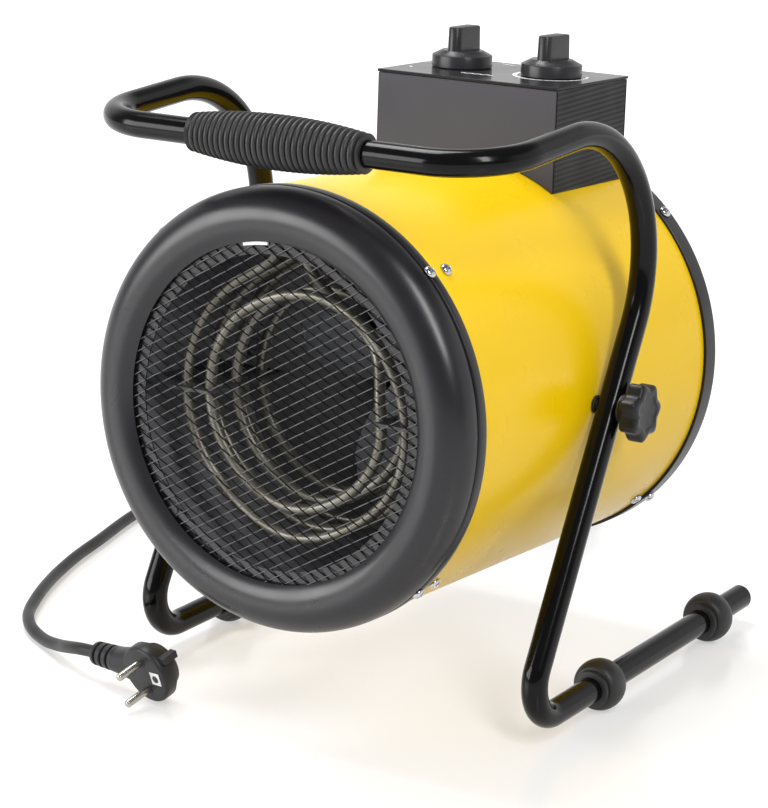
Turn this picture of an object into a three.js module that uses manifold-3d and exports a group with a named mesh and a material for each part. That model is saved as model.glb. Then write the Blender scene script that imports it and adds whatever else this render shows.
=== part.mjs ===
// Round forced air heater: a yellow drum with its heating coils and fan, tilting in a bent tube stand.
// Millimetres. X runs across the heater, Y back from the outlet grille, Z up.
import * as THREE from 'three';
import { mergeVertices } from 'three/addons/utils/BufferGeometryUtils.js';
import Module from 'manifold-3d';

const wasm = await Module();
wasm.setup();

// ---- driving sizes ----
const gap = 0.3; // air left between two pieces that touch

const stand = {
  tubeRadius: 8, tubeBore: 6.5, sideGap: 2.4, skidRear: 181.7, legLean: 60.1, topRise: 175.9,
  crossbarAngle: 129.8, footBend: 23, topBend: 83.6, crossbarBend: 43.6, capThickness: 2.2, capStem: 8,
};
const footRing = { radius: 16, halfLength: 12, crown: 4, shoulder: 9, frontPlace: -5.2, rearPlace: 136.7 };
const grip = { clearance: 0.9, halfLength: 60, middleRadius: 16.2, endRadius: 11.6, ribs: 29, ribDepth: 1.3 };
const clamp = {
  height: 190.8, studRadius: 3.7, washerRadius: 9, washerThickness: 1.5, spacerRadius: 11.5,
  nutRadius: 8, nutDepth: 8, hubRadius: 9.5, hubLength: 4, knobRadius: 18, knobDepth: 11.5,
  lobes: 7, lobeDepth: 2.3, studInKnob: 7,
};
const drum = {
  tilt: 3.3, radius: 130, wall: 1.2, front: -134, rear: 149, sides: 40,
  bandWall: 1.7, windowWidth: 70, windowFront: 66, windowRear: 120,
};
const bezel = { overlap: 7.3, bandLength: 17.7, rollDepth: 13.4, rollWidth: 31, lipAngle: 153, groove: 0.8 };
const net = { spacing: 17, wire: 1.4, slope: 25, setBack: 8.2, thickness: 1.2 };
const rearRing = { overlap: 9.8, length: 13.6, lip: 12 };
const guard = { plate: 1.5, slotRings: 4, slotSectors: 6, slotWidth: 13, slotStart: 30, slotPitch: 22, bridge: 6 };
const screw = { headRadius: 3.6, headHeight: 2.4, shankRadius: 1.6, shankLength: 6, clearance: 0.35 };
const screwRow = { frontBand: -130.4, frontCasing: -117, rearCasing: 129.5, rearBand: 145.2 };
const shell = { airGap: 17, wall: 1, front: -141, rear: -20, slotWidth: 48 };
const element = {
  tubeRadius: 3.3, outerRadius: 79.6, innerRadius: 65.6, first: -122.4, pitch: 26, count: 3,
  innerSetBack: 8.4, legSpacing: 28, legEnd: 4,
};
const comb = { thickness: 2, reachIn: 58, margin: 8 };
const terminalPlate = { thickness: 3, width: 44, margin: 9, lift: 1 };
const motor = { radius: 36, front: 48, rear: 104, bossRadius: 12, bossLength: 6, boreDepth: 24 };
const bracket = { plate: 3, hubRadius: 38, armWidth: 16, tab: 2.5 };
const fan = {
  radius: 95, hubRadius: 22, hubFront: 12, hubRear: 34, blades: 5, chord: 54, rootPitch: 42, tipPitch: 24,
  thickness: 1.8, shaftRadius: 4, shaftIntoMotor: 20, shaftNose: 4,
};
const control = {
  halfWidth: 65.1, front: 49.8, rear: 138.8, rise: 48.3, wall: 2, panel: 1.8, overhang: 0.5,
  knobSpacing: 66, knobPlace: 98, switchSize: 40, switchDepth: 28, stemRadius: 4,
};
const terminalBlock = { width: 44, depth: 12, height: 16, place: 134 };
const cutout = { radius: 9, thickness: 10, place: -4, angle: 60 };
const knob = { radius: 19.3, skirt: 8, chamfer: 3, shoulder: 13.5, height: 26, gripLength: 24, gripWidth: 8.4 };
const gland = { across: -42, rise: 17, radius: 10.5, length: 17, thread: 6, sleeveLength: 24, sleeveRadius: 7 };
const cord = { radius: 4, coilRadius: 44, coilPitch: 8.8, coilTurns: 2.25, coilSteps: 24, stub: 4 };
const plug = {
  faceRadius: 19.4, depth: 17, backRadius: 15, armLength: 36, armRadius: 9.4, armSetBack: 7.5,
  reliefLength: 17, reliefRadius: 7.2, pinRadius: 2.4, pinLength: 19, pinSpacing: 19,
};

// ---- materials ----
function surface(color, roughness, metalness = 0) {
  return new THREE.MeshStandardMaterial({ color, roughness, metalness });
}
const yellowPaint = surface(0xffc800, 0.35);
const blackPaint = surface(0x18181a, 0.3);
const blackPlastic = surface(0x2a2a2c, 0.55);
const rubber = surface(0x1c1c1e, 0.75);
const steel = surface(0xb8bcc0, 0.3, 0.9);
const darkSteel = surface(0x4a4a4c, 0.5, 0.7);
const coilSteel = surface(0x7d766c, 0.45, 0.7);
const wireSteel = surface(0x8a8a8c, 0.4, 0.8);
const ceramic = surface(0xd9d2c0, 0.7);

// ---- shape helpers ----
function signedVolume(geometry) {
  const place = geometry.attributes.position;
  const index = geometry.index.array;
  const a = new THREE.Vector3();
  const b = new THREE.Vector3();
  const c = new THREE.Vector3();
  let sum = 0;
  for (let i = 0; i < index.length; i += 3) {
    a.fromBufferAttribute(place, index[i]);
    b.fromBufferAttribute(place, index[i + 1]);
    c.fromBufferAttribute(place, index[i + 2]);
    sum += a.dot(b.cross(c));
  }
  return sum;
}

// One closed mesh with shared corners and its faces pointing out.
function closed(geometry) {
  const bare = geometry.clone();
  bare.deleteAttribute('normal');
  bare.deleteAttribute('uv');
  const merged = mergeVertices(bare, 1e-4);
  const kept = [];
  const index = merged.index.array;
  for (let i = 0; i < index.length; i += 3) {
    const [a, b, c] = [index[i], index[i + 1], index[i + 2]];
    if (a !== b && b !== c && c !== a) kept.push(a, b, c);
  }
  merged.setIndex(kept);
  if (signedVolume(merged) < 0) {
    for (let i = 0; i < kept.length; i += 3) [kept[i], kept[i + 1]] = [kept[i + 1], kept[i]];
    merged.setIndex(kept);
  }
  return merged;
}

function solid(geometry) {
  const mesh = closed(geometry);
  return new wasm.Manifold(new wasm.Mesh({
    numProp: 3,
    vertProperties: Float32Array.from(mesh.attributes.position.array),
    triVerts: Uint32Array.from(mesh.index.array),
  }));
}

function fromSolid(manifold) {
  const mesh = manifold.getMesh();
  const geometry = new THREE.BufferGeometry();
  geometry.setAttribute('position', new THREE.Float32BufferAttribute(mesh.vertProperties, 3));
  geometry.setIndex(Array.from(mesh.triVerts));
  return geometry;
}

function join(first, ...others) {
  return fromSolid(others.reduce((sum, next) => sum.add(solid(next)), solid(first)));
}

function cut(first, ...others) {
  return fromSolid(others.reduce((rest, next) => rest.subtract(solid(next)), solid(first)));
}

// A profile of [radius, height] pairs turned about Y.
function turned(profile, sides = drum.sides) {
  const points = profile.map(([radius, height]) => new THREE.Vector2(radius, height));
  return closed(new THREE.LatheGeometry(points, sides));
}

function turnedRing(profile, sides = drum.sides) {
  return turned([...profile, profile[0]], sides);
}

function block(x0, x1, y0, y1, z0, z1) {
  const box = new THREE.BoxGeometry(x1 - x0, y1 - y0, z1 - z0);
  return box.translate((x0 + x1) / 2, (y0 + y1) / 2, (z0 + z1) / 2);
}

// A round bar from one point to another.
function bar(from, to, radius, sides = 12) {
  const start = new THREE.Vector3(...from);
  const along = new THREE.Vector3(...to).sub(start);
  const length = along.length();
  const turn = new THREE.Quaternion().setFromUnitVectors(new THREE.Vector3(0, 1, 0), along.normalize());
  const rod = new THREE.CylinderGeometry(radius, radius, length, sides).translate(0, length / 2, 0);
  return rod.applyQuaternion(turn).translate(...from);
}

function polygon(radius, sides) {
  const corners = [];
  for (let i = 0; i < sides; i += 1) {
    const angle = (2 * Math.PI * i) / sides;
    corners.push(new THREE.Vector2(radius * Math.cos(angle), radius * Math.sin(angle)));
  }
  return corners;
}

// A path with one station at each given point, so bends can be finer than straights.
class StationPath extends THREE.Curve {
  constructor(points) {
    super();
    this.points = points;
  }

  getPoint(t, target = new THREE.Vector3()) {
    const place = THREE.MathUtils.clamp(t, 0, 1) * (this.points.length - 1);
    const index = Math.min(Math.floor(place), this.points.length - 2);
    return target.lerpVectors(this.points[index], this.points[index + 1], place - index);
  }

  getUtoTmapping(u) {
    return u;
  }
}

function tube(points, radius, sides, bore = 0, boreSides = 6) {
  const section = new THREE.Shape(polygon(radius, sides));
  if (bore > 0) section.holes.push(new THREE.Path(polygon(bore, boreSides)));
  const path = new StationPath(points);
  return new THREE.ExtrudeGeometry(section, {
    steps: points.length - 1, bevelEnabled: false, extrudePath: path,
  });
}

// A polyline whose inner corners are rounded to the given radii.
function rounded(corners, radii, steps) {
  const path = [corners[0]];
  for (let i = 1; i < corners.length - 1; i += 1) {
    const back = corners[i - 1].clone().sub(corners[i]).normalize();
    const ahead = corners[i + 1].clone().sub(corners[i]).normalize();
    const half = back.angleTo(ahead) / 2;
    const radius = radii[i - 1];
    const middle = back.clone().add(ahead).normalize();
    const centre = corners[i].clone().addScaledVector(middle, radius / Math.sin(half));
    const start = corners[i].clone().addScaledVector(back, radius / Math.tan(half)).sub(centre);
    const end = corners[i].clone().addScaledVector(ahead, radius / Math.tan(half)).sub(centre);
    const turn = start.angleTo(end);
    for (let k = 0; k <= steps[i - 1]; k += 1) {
      const share = k / steps[i - 1];
      const spoke = start.clone().multiplyScalar(Math.sin((1 - share) * turn) / Math.sin(turn));
      spoke.addScaledVector(end, Math.sin(share * turn) / Math.sin(turn));
      path.push(spoke.add(centre));
    }
  }
  path.push(corners[corners.length - 1]);
  return path;
}

function radians(degrees) {
  return THREE.MathUtils.degToRad(degrees);
}

// Moves a piece made along +Y so that it points outward from the drum's axis at the given angle.
function radial(geometry, degrees, radius, along) {
  const out = new THREE.Vector3(Math.cos(radians(degrees)), 0, Math.sin(radians(degrees)));
  const turn = new THREE.Quaternion().setFromUnitVectors(new THREE.Vector3(0, 1, 0), out);
  return geometry.applyQuaternion(turn).translate(out.x * radius, along, out.z * radius);
}

const screwAngles = [45, 135, 225, 315];
const corners = ['upper_right', 'upper_left', 'lower_left', 'lower_right'];
const bandInner = drum.radius + gap;
const bandRadius = bandInner + drum.bandWall;
const casingInner = drum.radius - drum.wall;
const insideCasing = casingInner * Math.cos(Math.PI / drum.sides) - gap;
const shellRadius = drum.radius - shell.airGap;
const controlTop = drum.radius + control.rise;
const glandHeight = drum.radius + gland.rise;
const skidHeight = footRing.radius;
const legOffset = drum.radius + stand.sideGap + stand.tubeRadius;

// The front ring is one rolled sheet: its outline is a flat band and then a half-round roll to the opening.
const bezelRearEdge = drum.front + bezel.overlap;
const rollStart = bezelRearEdge - bezel.bandLength;
const openingRadius = bandRadius - bezel.rollWidth;

function rollOutline(inset, count) {
  const halfWidth = bezel.rollWidth / (1 - Math.cos(radians(bezel.lipAngle)));
  const centre = bandRadius - halfWidth;
  const outline = [];
  for (let i = 0; i <= count; i += 1) {
    const angle = (radians(bezel.lipAngle) * i) / count;
    const radius = centre + (halfWidth - inset) * Math.cos(angle);
    outline.push([radius, rollStart - (bezel.rollDepth - inset) * Math.sin(angle)]);
  }
  return outline;
}

// The crossbar stands clear of the circle that the tilting drum sweeps about the pivot axis.
const drumReach = Math.max(...rollOutline(0, 24).map(([radius, along]) => Math.hypot(radius, along)));
const crossbarReach = drumReach + grip.clearance + grip.middleRadius;

const machine = new THREE.Group();
const drumGroup = new THREE.Group();
drumGroup.position.z = clamp.height;
drumGroup.rotation.x = radians(-drum.tilt);
machine.add(drumGroup);

function piece(parent, name, geometry, material) {
  const mesh = new THREE.Mesh(closed(geometry), material);
  mesh.name = name;
  parent.add(mesh);
  return mesh;
}

// ---- stand ----
const crossbarPlace = {
  y: crossbarReach * Math.cos(radians(stand.crossbarAngle)),
  z: clamp.height + crossbarReach * Math.sin(radians(stand.crossbarAngle)),
};

// Each leg leans back through the pivot, from its skid up to the top bend.
function tubeFrame() {
  const slope = Math.tan(radians(stand.legLean));
  const side = (x) => [
    new THREE.Vector3(x, stand.skidRear, skidHeight),
    new THREE.Vector3(x, (skidHeight - clamp.height) / slope, skidHeight),
    new THREE.Vector3(x, stand.topRise / slope, clamp.height + stand.topRise),
    new THREE.Vector3(x, crossbarPlace.y, crossbarPlace.z),
  ];
  const route = [...side(legOffset), ...side(-legOffset).reverse()];
  const radii = [stand.footBend, stand.topBend, stand.crossbarBend];
  const steps = [5, 6, 4];
  const path = rounded(route, [...radii, ...[...radii].reverse()], [...steps, ...[...steps].reverse()]);
  const frame = tube(path, stand.tubeRadius, 10, stand.tubeBore);
  const reach = legOffset + 2 * stand.tubeRadius;
  const pivotHole = (sign) => bar(
    [sign * (legOffset - 2 * stand.tubeRadius), 0, clamp.height],
    [sign * reach, 0, clamp.height],
    clamp.studRadius + gap, 10,
  );
  piece(machine, 'tube_frame', cut(frame, pivotHole(1), pivotHole(-1)), blackPaint);
}

function handleGrip() {
  const profile = [];
  const sides = 8;
  const bore = (stand.tubeRadius + gap) / Math.cos(Math.PI / sides);
  const stations = 2 * grip.ribs;
  for (let i = 0; i <= stations; i += 1) {
    const share = (2 * i) / stations - 1;
    const barrel = grip.endRadius + (grip.middleRadius - grip.endRadius) * (1 - share * share);
    const radius = barrel - (i % 2 === 0 ? grip.ribDepth : 0);
    profile.push([radius, share * (grip.halfLength - 3)]);
  }
  profile.unshift([bore, -grip.halfLength], [grip.endRadius, -grip.halfLength]);
  profile.push([grip.endRadius, grip.halfLength], [bore, grip.halfLength]);
  const sleeve = turnedRing(profile, sides).rotateZ(Math.PI / 2);
  sleeve.translate(0, crossbarPlace.y, crossbarPlace.z);
  piece(machine, 'handle_grip', sleeve, rubber);
}

function footRings() {
  const sides = 12;
  const flatRadius = footRing.radius / Math.cos(Math.PI / sides);
  const bore = stand.tubeRadius + gap;
  const half = [
    [bore, footRing.halfLength], [bore + 2.6, footRing.halfLength],
    [flatRadius - 1.7, footRing.shoulder], [flatRadius, footRing.crown],
  ];
  const mirrored = half.map(([radius, along]) => [radius, -along]).reverse();
  for (const [side, sign] of [['right', 1], ['left', -1]]) {
    for (const [end, place] of [['front', footRing.frontPlace], ['rear', footRing.rearPlace]]) {
      const ring = turnedRing([...half, ...mirrored], sides).rotateY(Math.PI / sides);
      ring.translate(sign * legOffset, place, skidHeight);
      piece(machine, `${end}_${side}_foot_ring`, ring, rubber);
    }
  }
}

function skidCaps() {
  const stem = stand.tubeBore * Math.cos(Math.PI / 6) - gap;
  const profile = [
    [0, -stand.capStem], [stem, -stand.capStem], [stem, gap], [stand.tubeRadius, gap],
    [stand.tubeRadius, 1.2 + gap], [stand.tubeRadius - 1.4, stand.capThickness], [0, stand.capThickness],
  ];
  for (const [side, sign] of [['right', 1], ['left', -1]]) {
    const cap = turned(profile, 10).translate(sign * legOffset, stand.skidRear, skidHeight);
    piece(machine, `${side}_skid_cap`, cap, blackPlastic);
  }
}

// ---- clamp knobs on the pivot axis ----
function starOutline() {
  const points = [];
  const steps = clamp.lobes * 4;
  for (let i = 0; i < steps; i += 1) {
    const angle = (2 * Math.PI * i) / steps;
    const radius = clamp.knobRadius - clamp.lobeDepth * (0.5 - 0.5 * Math.cos(clamp.lobes * angle));
    points.push(new THREE.Vector2(radius * Math.cos(angle), radius * Math.sin(angle)));
  }
  return new THREE.Shape(points);
}

function clampPieces() {
  const inner = legOffset - stand.tubeRadius;
  const outer = legOffset + stand.tubeRadius;
  const washerStart = outer + gap;
  const hubStart = washerStart + clamp.washerThickness + gap;
  const headStart = hubStart + clamp.hubLength;
  const hole = clamp.studRadius + gap;
  const nutFace = insideCasing;
  const ring = (x0, x1, radius, sides) => cut(
    bar([x0, 0, 0], [x1, 0, 0], radius, sides),
    bar([x0 - 1, 0, 0], [x1 + 1, 0, 0], hole, 10),
  );
  const bevel = 1.2;
  const head = new THREE.ExtrudeGeometry(starOutline(), {
    depth: clamp.knobDepth - 2 * bevel, bevelThickness: bevel, bevelSize: bevel,
    bevelOffset: -bevel, bevelSegments: 1, curveSegments: 1,
  }).rotateY(Math.PI / 2).translate(headStart + bevel - 0.01, 0, 0);
  const hub = new THREE.CylinderGeometry(clamp.hubRadius + 3, clamp.hubRadius, clamp.hubLength + 2, 14);
  hub.rotateZ(-Math.PI / 2).translate(headStart + 1 - clamp.hubLength / 2, 0, 0);
  const studEnd = hubStart + clamp.studInKnob;
  const socket = bar([hubStart - 1, 0, 0], [studEnd + gap, 0, 0], hole, 10);
  const parts = {
    pivot_spacer: [ring(drum.radius + gap, inner - gap, clamp.spacerRadius, 12), machine, steel],
    clamp_washer: [ring(washerStart, washerStart + clamp.washerThickness, clamp.washerRadius, 12), machine, steel],
    star_knob: [cut(join(head, hub), socket), machine, blackPlastic],
    clamp_stud: [bar([nutFace - clamp.nutDepth, 0, 0], [studEnd, 0, 0], clamp.studRadius, 10), machine, steel],
    pivot_nut: [ring(nutFace - clamp.nutDepth, nutFace, clamp.nutRadius, 6), drumGroup, steel],
  };
  for (const [side, turn] of [['right', 0], ['left', Math.PI]]) {
    for (const [name, [geometry, parent, material]] of Object.entries(parts)) {
      const placed = geometry.clone().rotateZ(turn);
      if (parent === machine) placed.translate(0, 0, clamp.height);
      piece(parent, `${side}_${name}`, placed, material);
    }
  }
}

// ---- drum casing and its screws ----
function screwShape(length = screw.shankLength) {
  return turned([
    [0, -length], [screw.shankRadius, -length], [screw.shankRadius, 0], [screw.headRadius, 0],
    [screw.headRadius - 0.5, screw.headHeight * 0.7], [0, screw.headHeight],
  ], 8);
}

function screwHole(degrees, along) {
  const hole = bar([0, -screw.shankLength - 2, 0], [0, 4, 0], screw.shankRadius + screw.clearance, 6);
  return radial(hole, degrees, drum.radius, along);
}

function outerCasing() {
  const wall = turnedRing([
    [casingInner, drum.front], [drum.radius, drum.front], [drum.radius, drum.rear], [casingInner, drum.rear],
  ]);
  const window = block(
    -drum.windowWidth / 2, drum.windowWidth / 2, drum.windowFront, drum.windowRear, 0, 2 * drum.radius,
  );
  const holes = [];
  for (const degrees of screwAngles) {
    for (const along of Object.values(screwRow)) holes.push(screwHole(degrees, along));
  }
  const pivot = bar([-2 * drum.radius, 0, 0], [2 * drum.radius, 0, 0], clamp.studRadius + gap, 10);
  piece(drumGroup, 'outer_casing', cut(wall, window, pivot, ...holes), yellowPaint);
}

function bandScrews() {
  for (const [end, along] of [['front', screwRow.frontBand], ['rear', screwRow.rearBand]]) {
    screwAngles.forEach((degrees, i) => {
      const placed = radial(screwShape(), degrees, bandRadius + gap, along);
      piece(drumGroup, `${end}_${corners[i]}_screw`, placed, steel);
    });
  }
}

// ---- outlet end ----
// A fine groove parts the flat band from the roll.
function frontBezel() {
  const ring = turnedRing([
    [bandInner, bezelRearEdge], [bandRadius, bezelRearEdge], [bandRadius, rollStart + 2 * bezel.groove],
    [bandRadius - bezel.groove, rollStart + bezel.groove],
    ...rollOutline(0, 6), ...rollOutline(drum.bandWall, 3).reverse(),
  ]);
  const holes = screwAngles.map((degrees) => screwHole(degrees, screwRow.frontBand));
  piece(drumGroup, 'front_bezel', cut(ring, ...holes), blackPaint);
}

// Two sets of straight wires cross at a slope either side of level and end in a dished rim.
function frontGrille() {
  const plane = rollStart - bezel.rollDepth + net.setBack;
  const back = plane + net.thickness;
  const rimInner = openingRadius - 1;
  const seat = drum.front - gap;
  const rimEdge = seat - 10;
  const rim = turnedRing([
    [drum.radius, seat], [drum.radius, rimEdge], [drum.radius - 4, plane], [rimInner, plane],
    [rimInner, back], [drum.radius - 4.7, back], [casingInner, rimEdge + 0.4], [casingInner, seat],
  ]);
  const parts = [];
  const reach = rimInner + 1;
  const count = Math.floor(rimInner / net.spacing);
  for (const sign of [1, -1]) {
    for (let i = -count; i <= count; i += 1) {
      const offset = i * net.spacing;
      const half = Math.sqrt(reach * reach - offset * offset);
      const wire = block(-half, half, plane, back, offset - net.wire / 2, offset + net.wire / 2);
      parts.push(wire.rotateY(sign * radians(net.slope)));
    }
  }
  piece(drumGroup, 'front_grille', join(rim, ...parts), wireSteel);
}

function innerShell() {
  const { wall, front, rear } = shell;
  const radius = shellRadius;
  const barrel = turnedRing([[radius - wall, front], [radius, front], [radius, rear], [radius - wall, rear]], 24);
  const last = element.first + element.pitch * (element.count - 1) + element.innerSetBack;
  const slot = block(
    -shell.slotWidth / 2, shell.slotWidth / 2, element.first - terminalPlate.margin,
    last + terminalPlate.margin, 0, 2 * radius,
  );
  const lugs = screwAngles.flatMap((degrees) => {
    const lug = block(-6, 6, 0, insideCasing - radius + wall / 2, -5, 5);
    const length = drum.radius + gap - insideCasing + 3;
    return [
      radial(lug, degrees, radius - wall / 2, screwRow.frontCasing),
      radial(screwShape(length), degrees, drum.radius + gap, screwRow.frontCasing),
    ];
  });
  piece(drumGroup, 'inner_shell', join(cut(barrel, slot), ...lugs), darkSteel);
}

// Each element is one sheathed tube: down a leg, once round outside, once round inside, up the other leg.
function elementPath(place) {
  const { outerRadius, innerRadius, innerSetBack, legSpacing } = element;
  const legTop = shellRadius + terminalPlate.lift + terminalPlate.thickness + element.legEnd;
  const legX = legSpacing / 2;
  const start = 114;
  const sweepAngle = 672;
  const change = 300;
  const changeLength = 60;
  const steps = 46;
  const points = [
    new THREE.Vector3(-legX, place, legTop),
    new THREE.Vector3(-legX, place, outerRadius + 15),
    new THREE.Vector3(-legX - 3, place, outerRadius + 5),
    new THREE.Vector3(-legX - 9, place, outerRadius - 1.5),
  ];
  for (let i = 0; i <= steps; i += 1) {
    const turn = (sweepAngle * i) / steps;
    const share = THREE.MathUtils.smoothstep(turn, change, change + changeLength);
    const radius = THREE.MathUtils.lerp(outerRadius, innerRadius, share);
    const angle = radians(start + turn);
    points.push(new THREE.Vector3(radius * Math.cos(angle), place + innerSetBack * share, radius * Math.sin(angle)));
  }
  const back = place + innerSetBack;
  points.push(
    new THREE.Vector3(legX + 7, back, innerRadius - 0.5),
    new THREE.Vector3(legX + 2, back, innerRadius + 6),
    new THREE.Vector3(legX, back, innerRadius + 16),
    new THREE.Vector3(legX, back, legTop),
  );
  return points;
}

const elementNames = ['front_heating_element', 'middle_heating_element', 'rear_heating_element'];

function heatingElements() {
  elementNames.forEach((name, i) => {
    const coil = tube(elementPath(element.first + i * element.pitch), element.tubeRadius, 5);
    piece(drumGroup, name, coil, coilSteel);
  });
}

// Slotted strips at each side hold the turns apart.
function elementCombs() {
  const { outerRadius, innerRadius, innerSetBack, first, pitch, count, tubeRadius } = element;
  const last = first + pitch * (count - 1);
  const reachOut = shellRadius - shell.wall - 1.5;
  const strip = block(
    comb.reachIn, reachOut, first - comb.margin, last + innerSetBack + comb.margin,
    -comb.thickness / 2, comb.thickness / 2,
  );
  const holes = [];
  for (let i = 0; i < count; i += 1) {
    const place = first + i * pitch;
    for (const [radius, along] of [[outerRadius, place], [innerRadius, place + innerSetBack]]) {
      holes.push(bar([radius, along, -9], [radius, along, 9], tubeRadius + 5 * gap, 6));
    }
  }
  const right = cut(strip, ...holes);
  piece(drumGroup, 'right_element_support', right, steel);
  piece(drumGroup, 'left_element_support', right.clone().rotateY(Math.PI), steel);
}

function terminalPlatePiece() {
  const { thickness, width, margin, lift } = terminalPlate;
  const { first, pitch, count, innerSetBack, legSpacing, tubeRadius } = element;
  const bottom = shellRadius + lift;
  const last = first + pitch * (count - 1) + innerSetBack;
  const plate = block(-width / 2, width / 2, first - margin + 1, last + margin - 1, bottom, bottom + thickness);
  const holes = [];
  for (let i = 0; i < count; i += 1) {
    const place = first + i * pitch;
    for (const [x, y] of [[-legSpacing / 2, place], [legSpacing / 2, place + innerSetBack]]) {
      holes.push(bar([x, y, bottom - 5], [x, y, bottom + 9], tubeRadius + 3 * gap, 6));
    }
  }
  piece(drumGroup, 'element_terminal_plate', cut(plate, ...holes), ceramic);
}

// ---- fan and motor ----
function fanBlade(index) {
  const { hubRadius, radius, chord, rootPitch, tipPitch, thickness, hubFront, hubRear, blades } = fan;
  const spans = 3;
  const chords = 3;
  const middle = (hubFront + hubRear) / 2;
  const points = [];
  for (const face of [1, -1]) {
    for (let i = 0; i <= spans; i += 1) {
      const share = i / spans;
      const r = THREE.MathUtils.lerp(hubRadius - 4, radius, share);
      const pitch = radians(THREE.MathUtils.lerp(rootPitch, tipPitch, share));
      const width = chord * (0.42 + 0.58 * Math.sin(Math.PI * (0.16 + 0.62 * share)));
      for (let k = 0; k <= chords; k += 1) {
        const across = (k / chords - 0.5) * width;
        const camber = 3.5 * (1 - (2 * k / chords - 1) ** 2);
        const tangential = across * Math.cos(pitch) + camber * Math.sin(pitch);
        const axial = across * Math.sin(pitch) - camber * Math.cos(pitch) + (face * thickness) / 2;
        const angle = tangential / Math.max(r, hubRadius) + (2 * Math.PI * index) / blades;
        points.push(r * Math.cos(angle), middle + axial, r * Math.sin(angle));
      }
    }
  }
  const row = chords + 1;
  const layer = row * (spans + 1);
  const faces = [];
  for (let i = 0; i < spans; i += 1) {
    for (let k = 0; k < chords; k += 1) {
      const a = i * row + k;
      faces.push(a, a + 1, a + row, a + 1, a + row + 1, a + row);
      faces.push(layer + a, layer + a + row, layer + a + 1, layer + a + 1, layer + a + row, layer + a + row + 1);
    }
  }
  const edge = [];
  for (let k = 0; k < chords; k += 1) edge.push([k, k + 1]);
  for (let i = 0; i < spans; i += 1) edge.push([i * row + chords, (i + 1) * row + chords]);
  for (let k = chords; k > 0; k -= 1) edge.push([spans * row + k, spans * row + k - 1]);
  for (let i = spans; i > 0; i -= 1) edge.push([i * row, (i - 1) * row]);
  for (const [a, b] of edge) faces.push(a, layer + a, b, b, layer + a, layer + b);
  const blade = new THREE.BufferGeometry();
  blade.setAttribute('position', new THREE.Float32BufferAttribute(points, 3));
  blade.setIndex(faces);
  return blade;
}

function fanPieces() {
  const { hubFront, hubRear, hubRadius, shaftRadius } = fan;
  const hub = turned([[0, hubFront], [hubRadius - 4, hubFront], [hubRadius, hubFront + 4], [hubRadius, hubRear], [0, hubRear]], 20);
  const blades = [];
  for (let i = 0; i < fan.blades; i += 1) blades.push(fanBlade(i));
  const hole = bar([0, hubFront - 9, 0], [0, hubRear + 9, 0], shaftRadius + gap, 12);
  piece(drumGroup, 'fan', cut(join(hub, ...blades), hole), darkSteel);
  const shaft = bar([0, hubFront - fan.shaftNose, 0], [0, motor.front + fan.shaftIntoMotor, 0], shaftRadius, 12);
  piece(drumGroup, 'motor_shaft', shaft, steel);
}

function motorPieces() {
  const { radius, front, rear, bossRadius, bossLength, boreDepth } = motor;
  const body = turned([
    [0, front - bossLength], [bossRadius, front - bossLength], [bossRadius, front], [radius - 5, front],
    [radius, front + 5], [radius, rear - 4], [radius - 4, rear], [0, rear],
  ], 16);
  const bore = bar([0, front - 20, 0], [0, front + boreDepth, 0], fan.shaftRadius + 1.2 * gap, 12);
  piece(drumGroup, 'fan_motor', cut(body, bore), darkSteel);
}

// A cross of four arms carries the motor; each arm ends in a tab screwed to the casing.
function motorBracket() {
  const { plate, hubRadius, armWidth, tab } = bracket;
  const front = motor.rear + gap;
  const back = front + plate;
  const disc = turned([[0, front], [hubRadius, front], [hubRadius, back], [0, back]], 16);
  const tabReach = screwRow.rearCasing + 6;
  const half = armWidth / 2;
  const parts = screwAngles.flatMap((degrees) => {
    const arm = block(-half, half, 0, insideCasing - 10.5, -plate / 2, plate / 2);
    const flap = block(-half, half, 0, tab, 0, tabReach - front).translate(0, 0, -plate / 2);
    const length = drum.radius + gap - insideCasing + tab * 0.8;
    const reach = Math.sqrt(insideCasing ** 2 - half ** 2) - tab;
    return [
      radialArm(arm, degrees, 10, (front + back) / 2),
      radialArm(flap, degrees, reach, (front + back) / 2),
      radial(screwShape(length), degrees, drum.radius + gap, screwRow.rearCasing),
    ];
  });
  piece(drumGroup, 'motor_bracket', join(disc, ...parts), steel);
}

// Places a block whose +Y points outward and whose +Z runs back along the drum.
function radialArm(geometry, degrees, radius, along) {
  const basis = new THREE.Matrix4().makeRotationZ(radians(degrees - 90));
  geometry.applyMatrix4(basis).translate(radius * Math.cos(radians(degrees)), radius * Math.sin(radians(degrees)), 0);
  return geometry.applyMatrix4(new THREE.Matrix4().makeRotationX(-Math.PI / 2)).scale(1, 1, -1).translate(0, along, 0);
}

// ---- inlet end ----
function rearRingPiece() {
  const start = drum.rear - rearRing.overlap;
  const end = start + rearRing.length;
  const wall = drum.bandWall;
  const ring = turnedRing([
    [bandInner, start], [bandRadius, start], [bandRadius, end - 1], [bandRadius - 1, end],
    [bandRadius - rearRing.lip, end], [bandRadius - rearRing.lip, end - wall], [bandInner, end - wall],
  ]);
  const holes = screwAngles.map((degrees) => screwHole(degrees, screwRow.rearBand));
  piece(drumGroup, 'rear_ring', cut(ring, ...holes), blackPaint);
}

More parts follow.
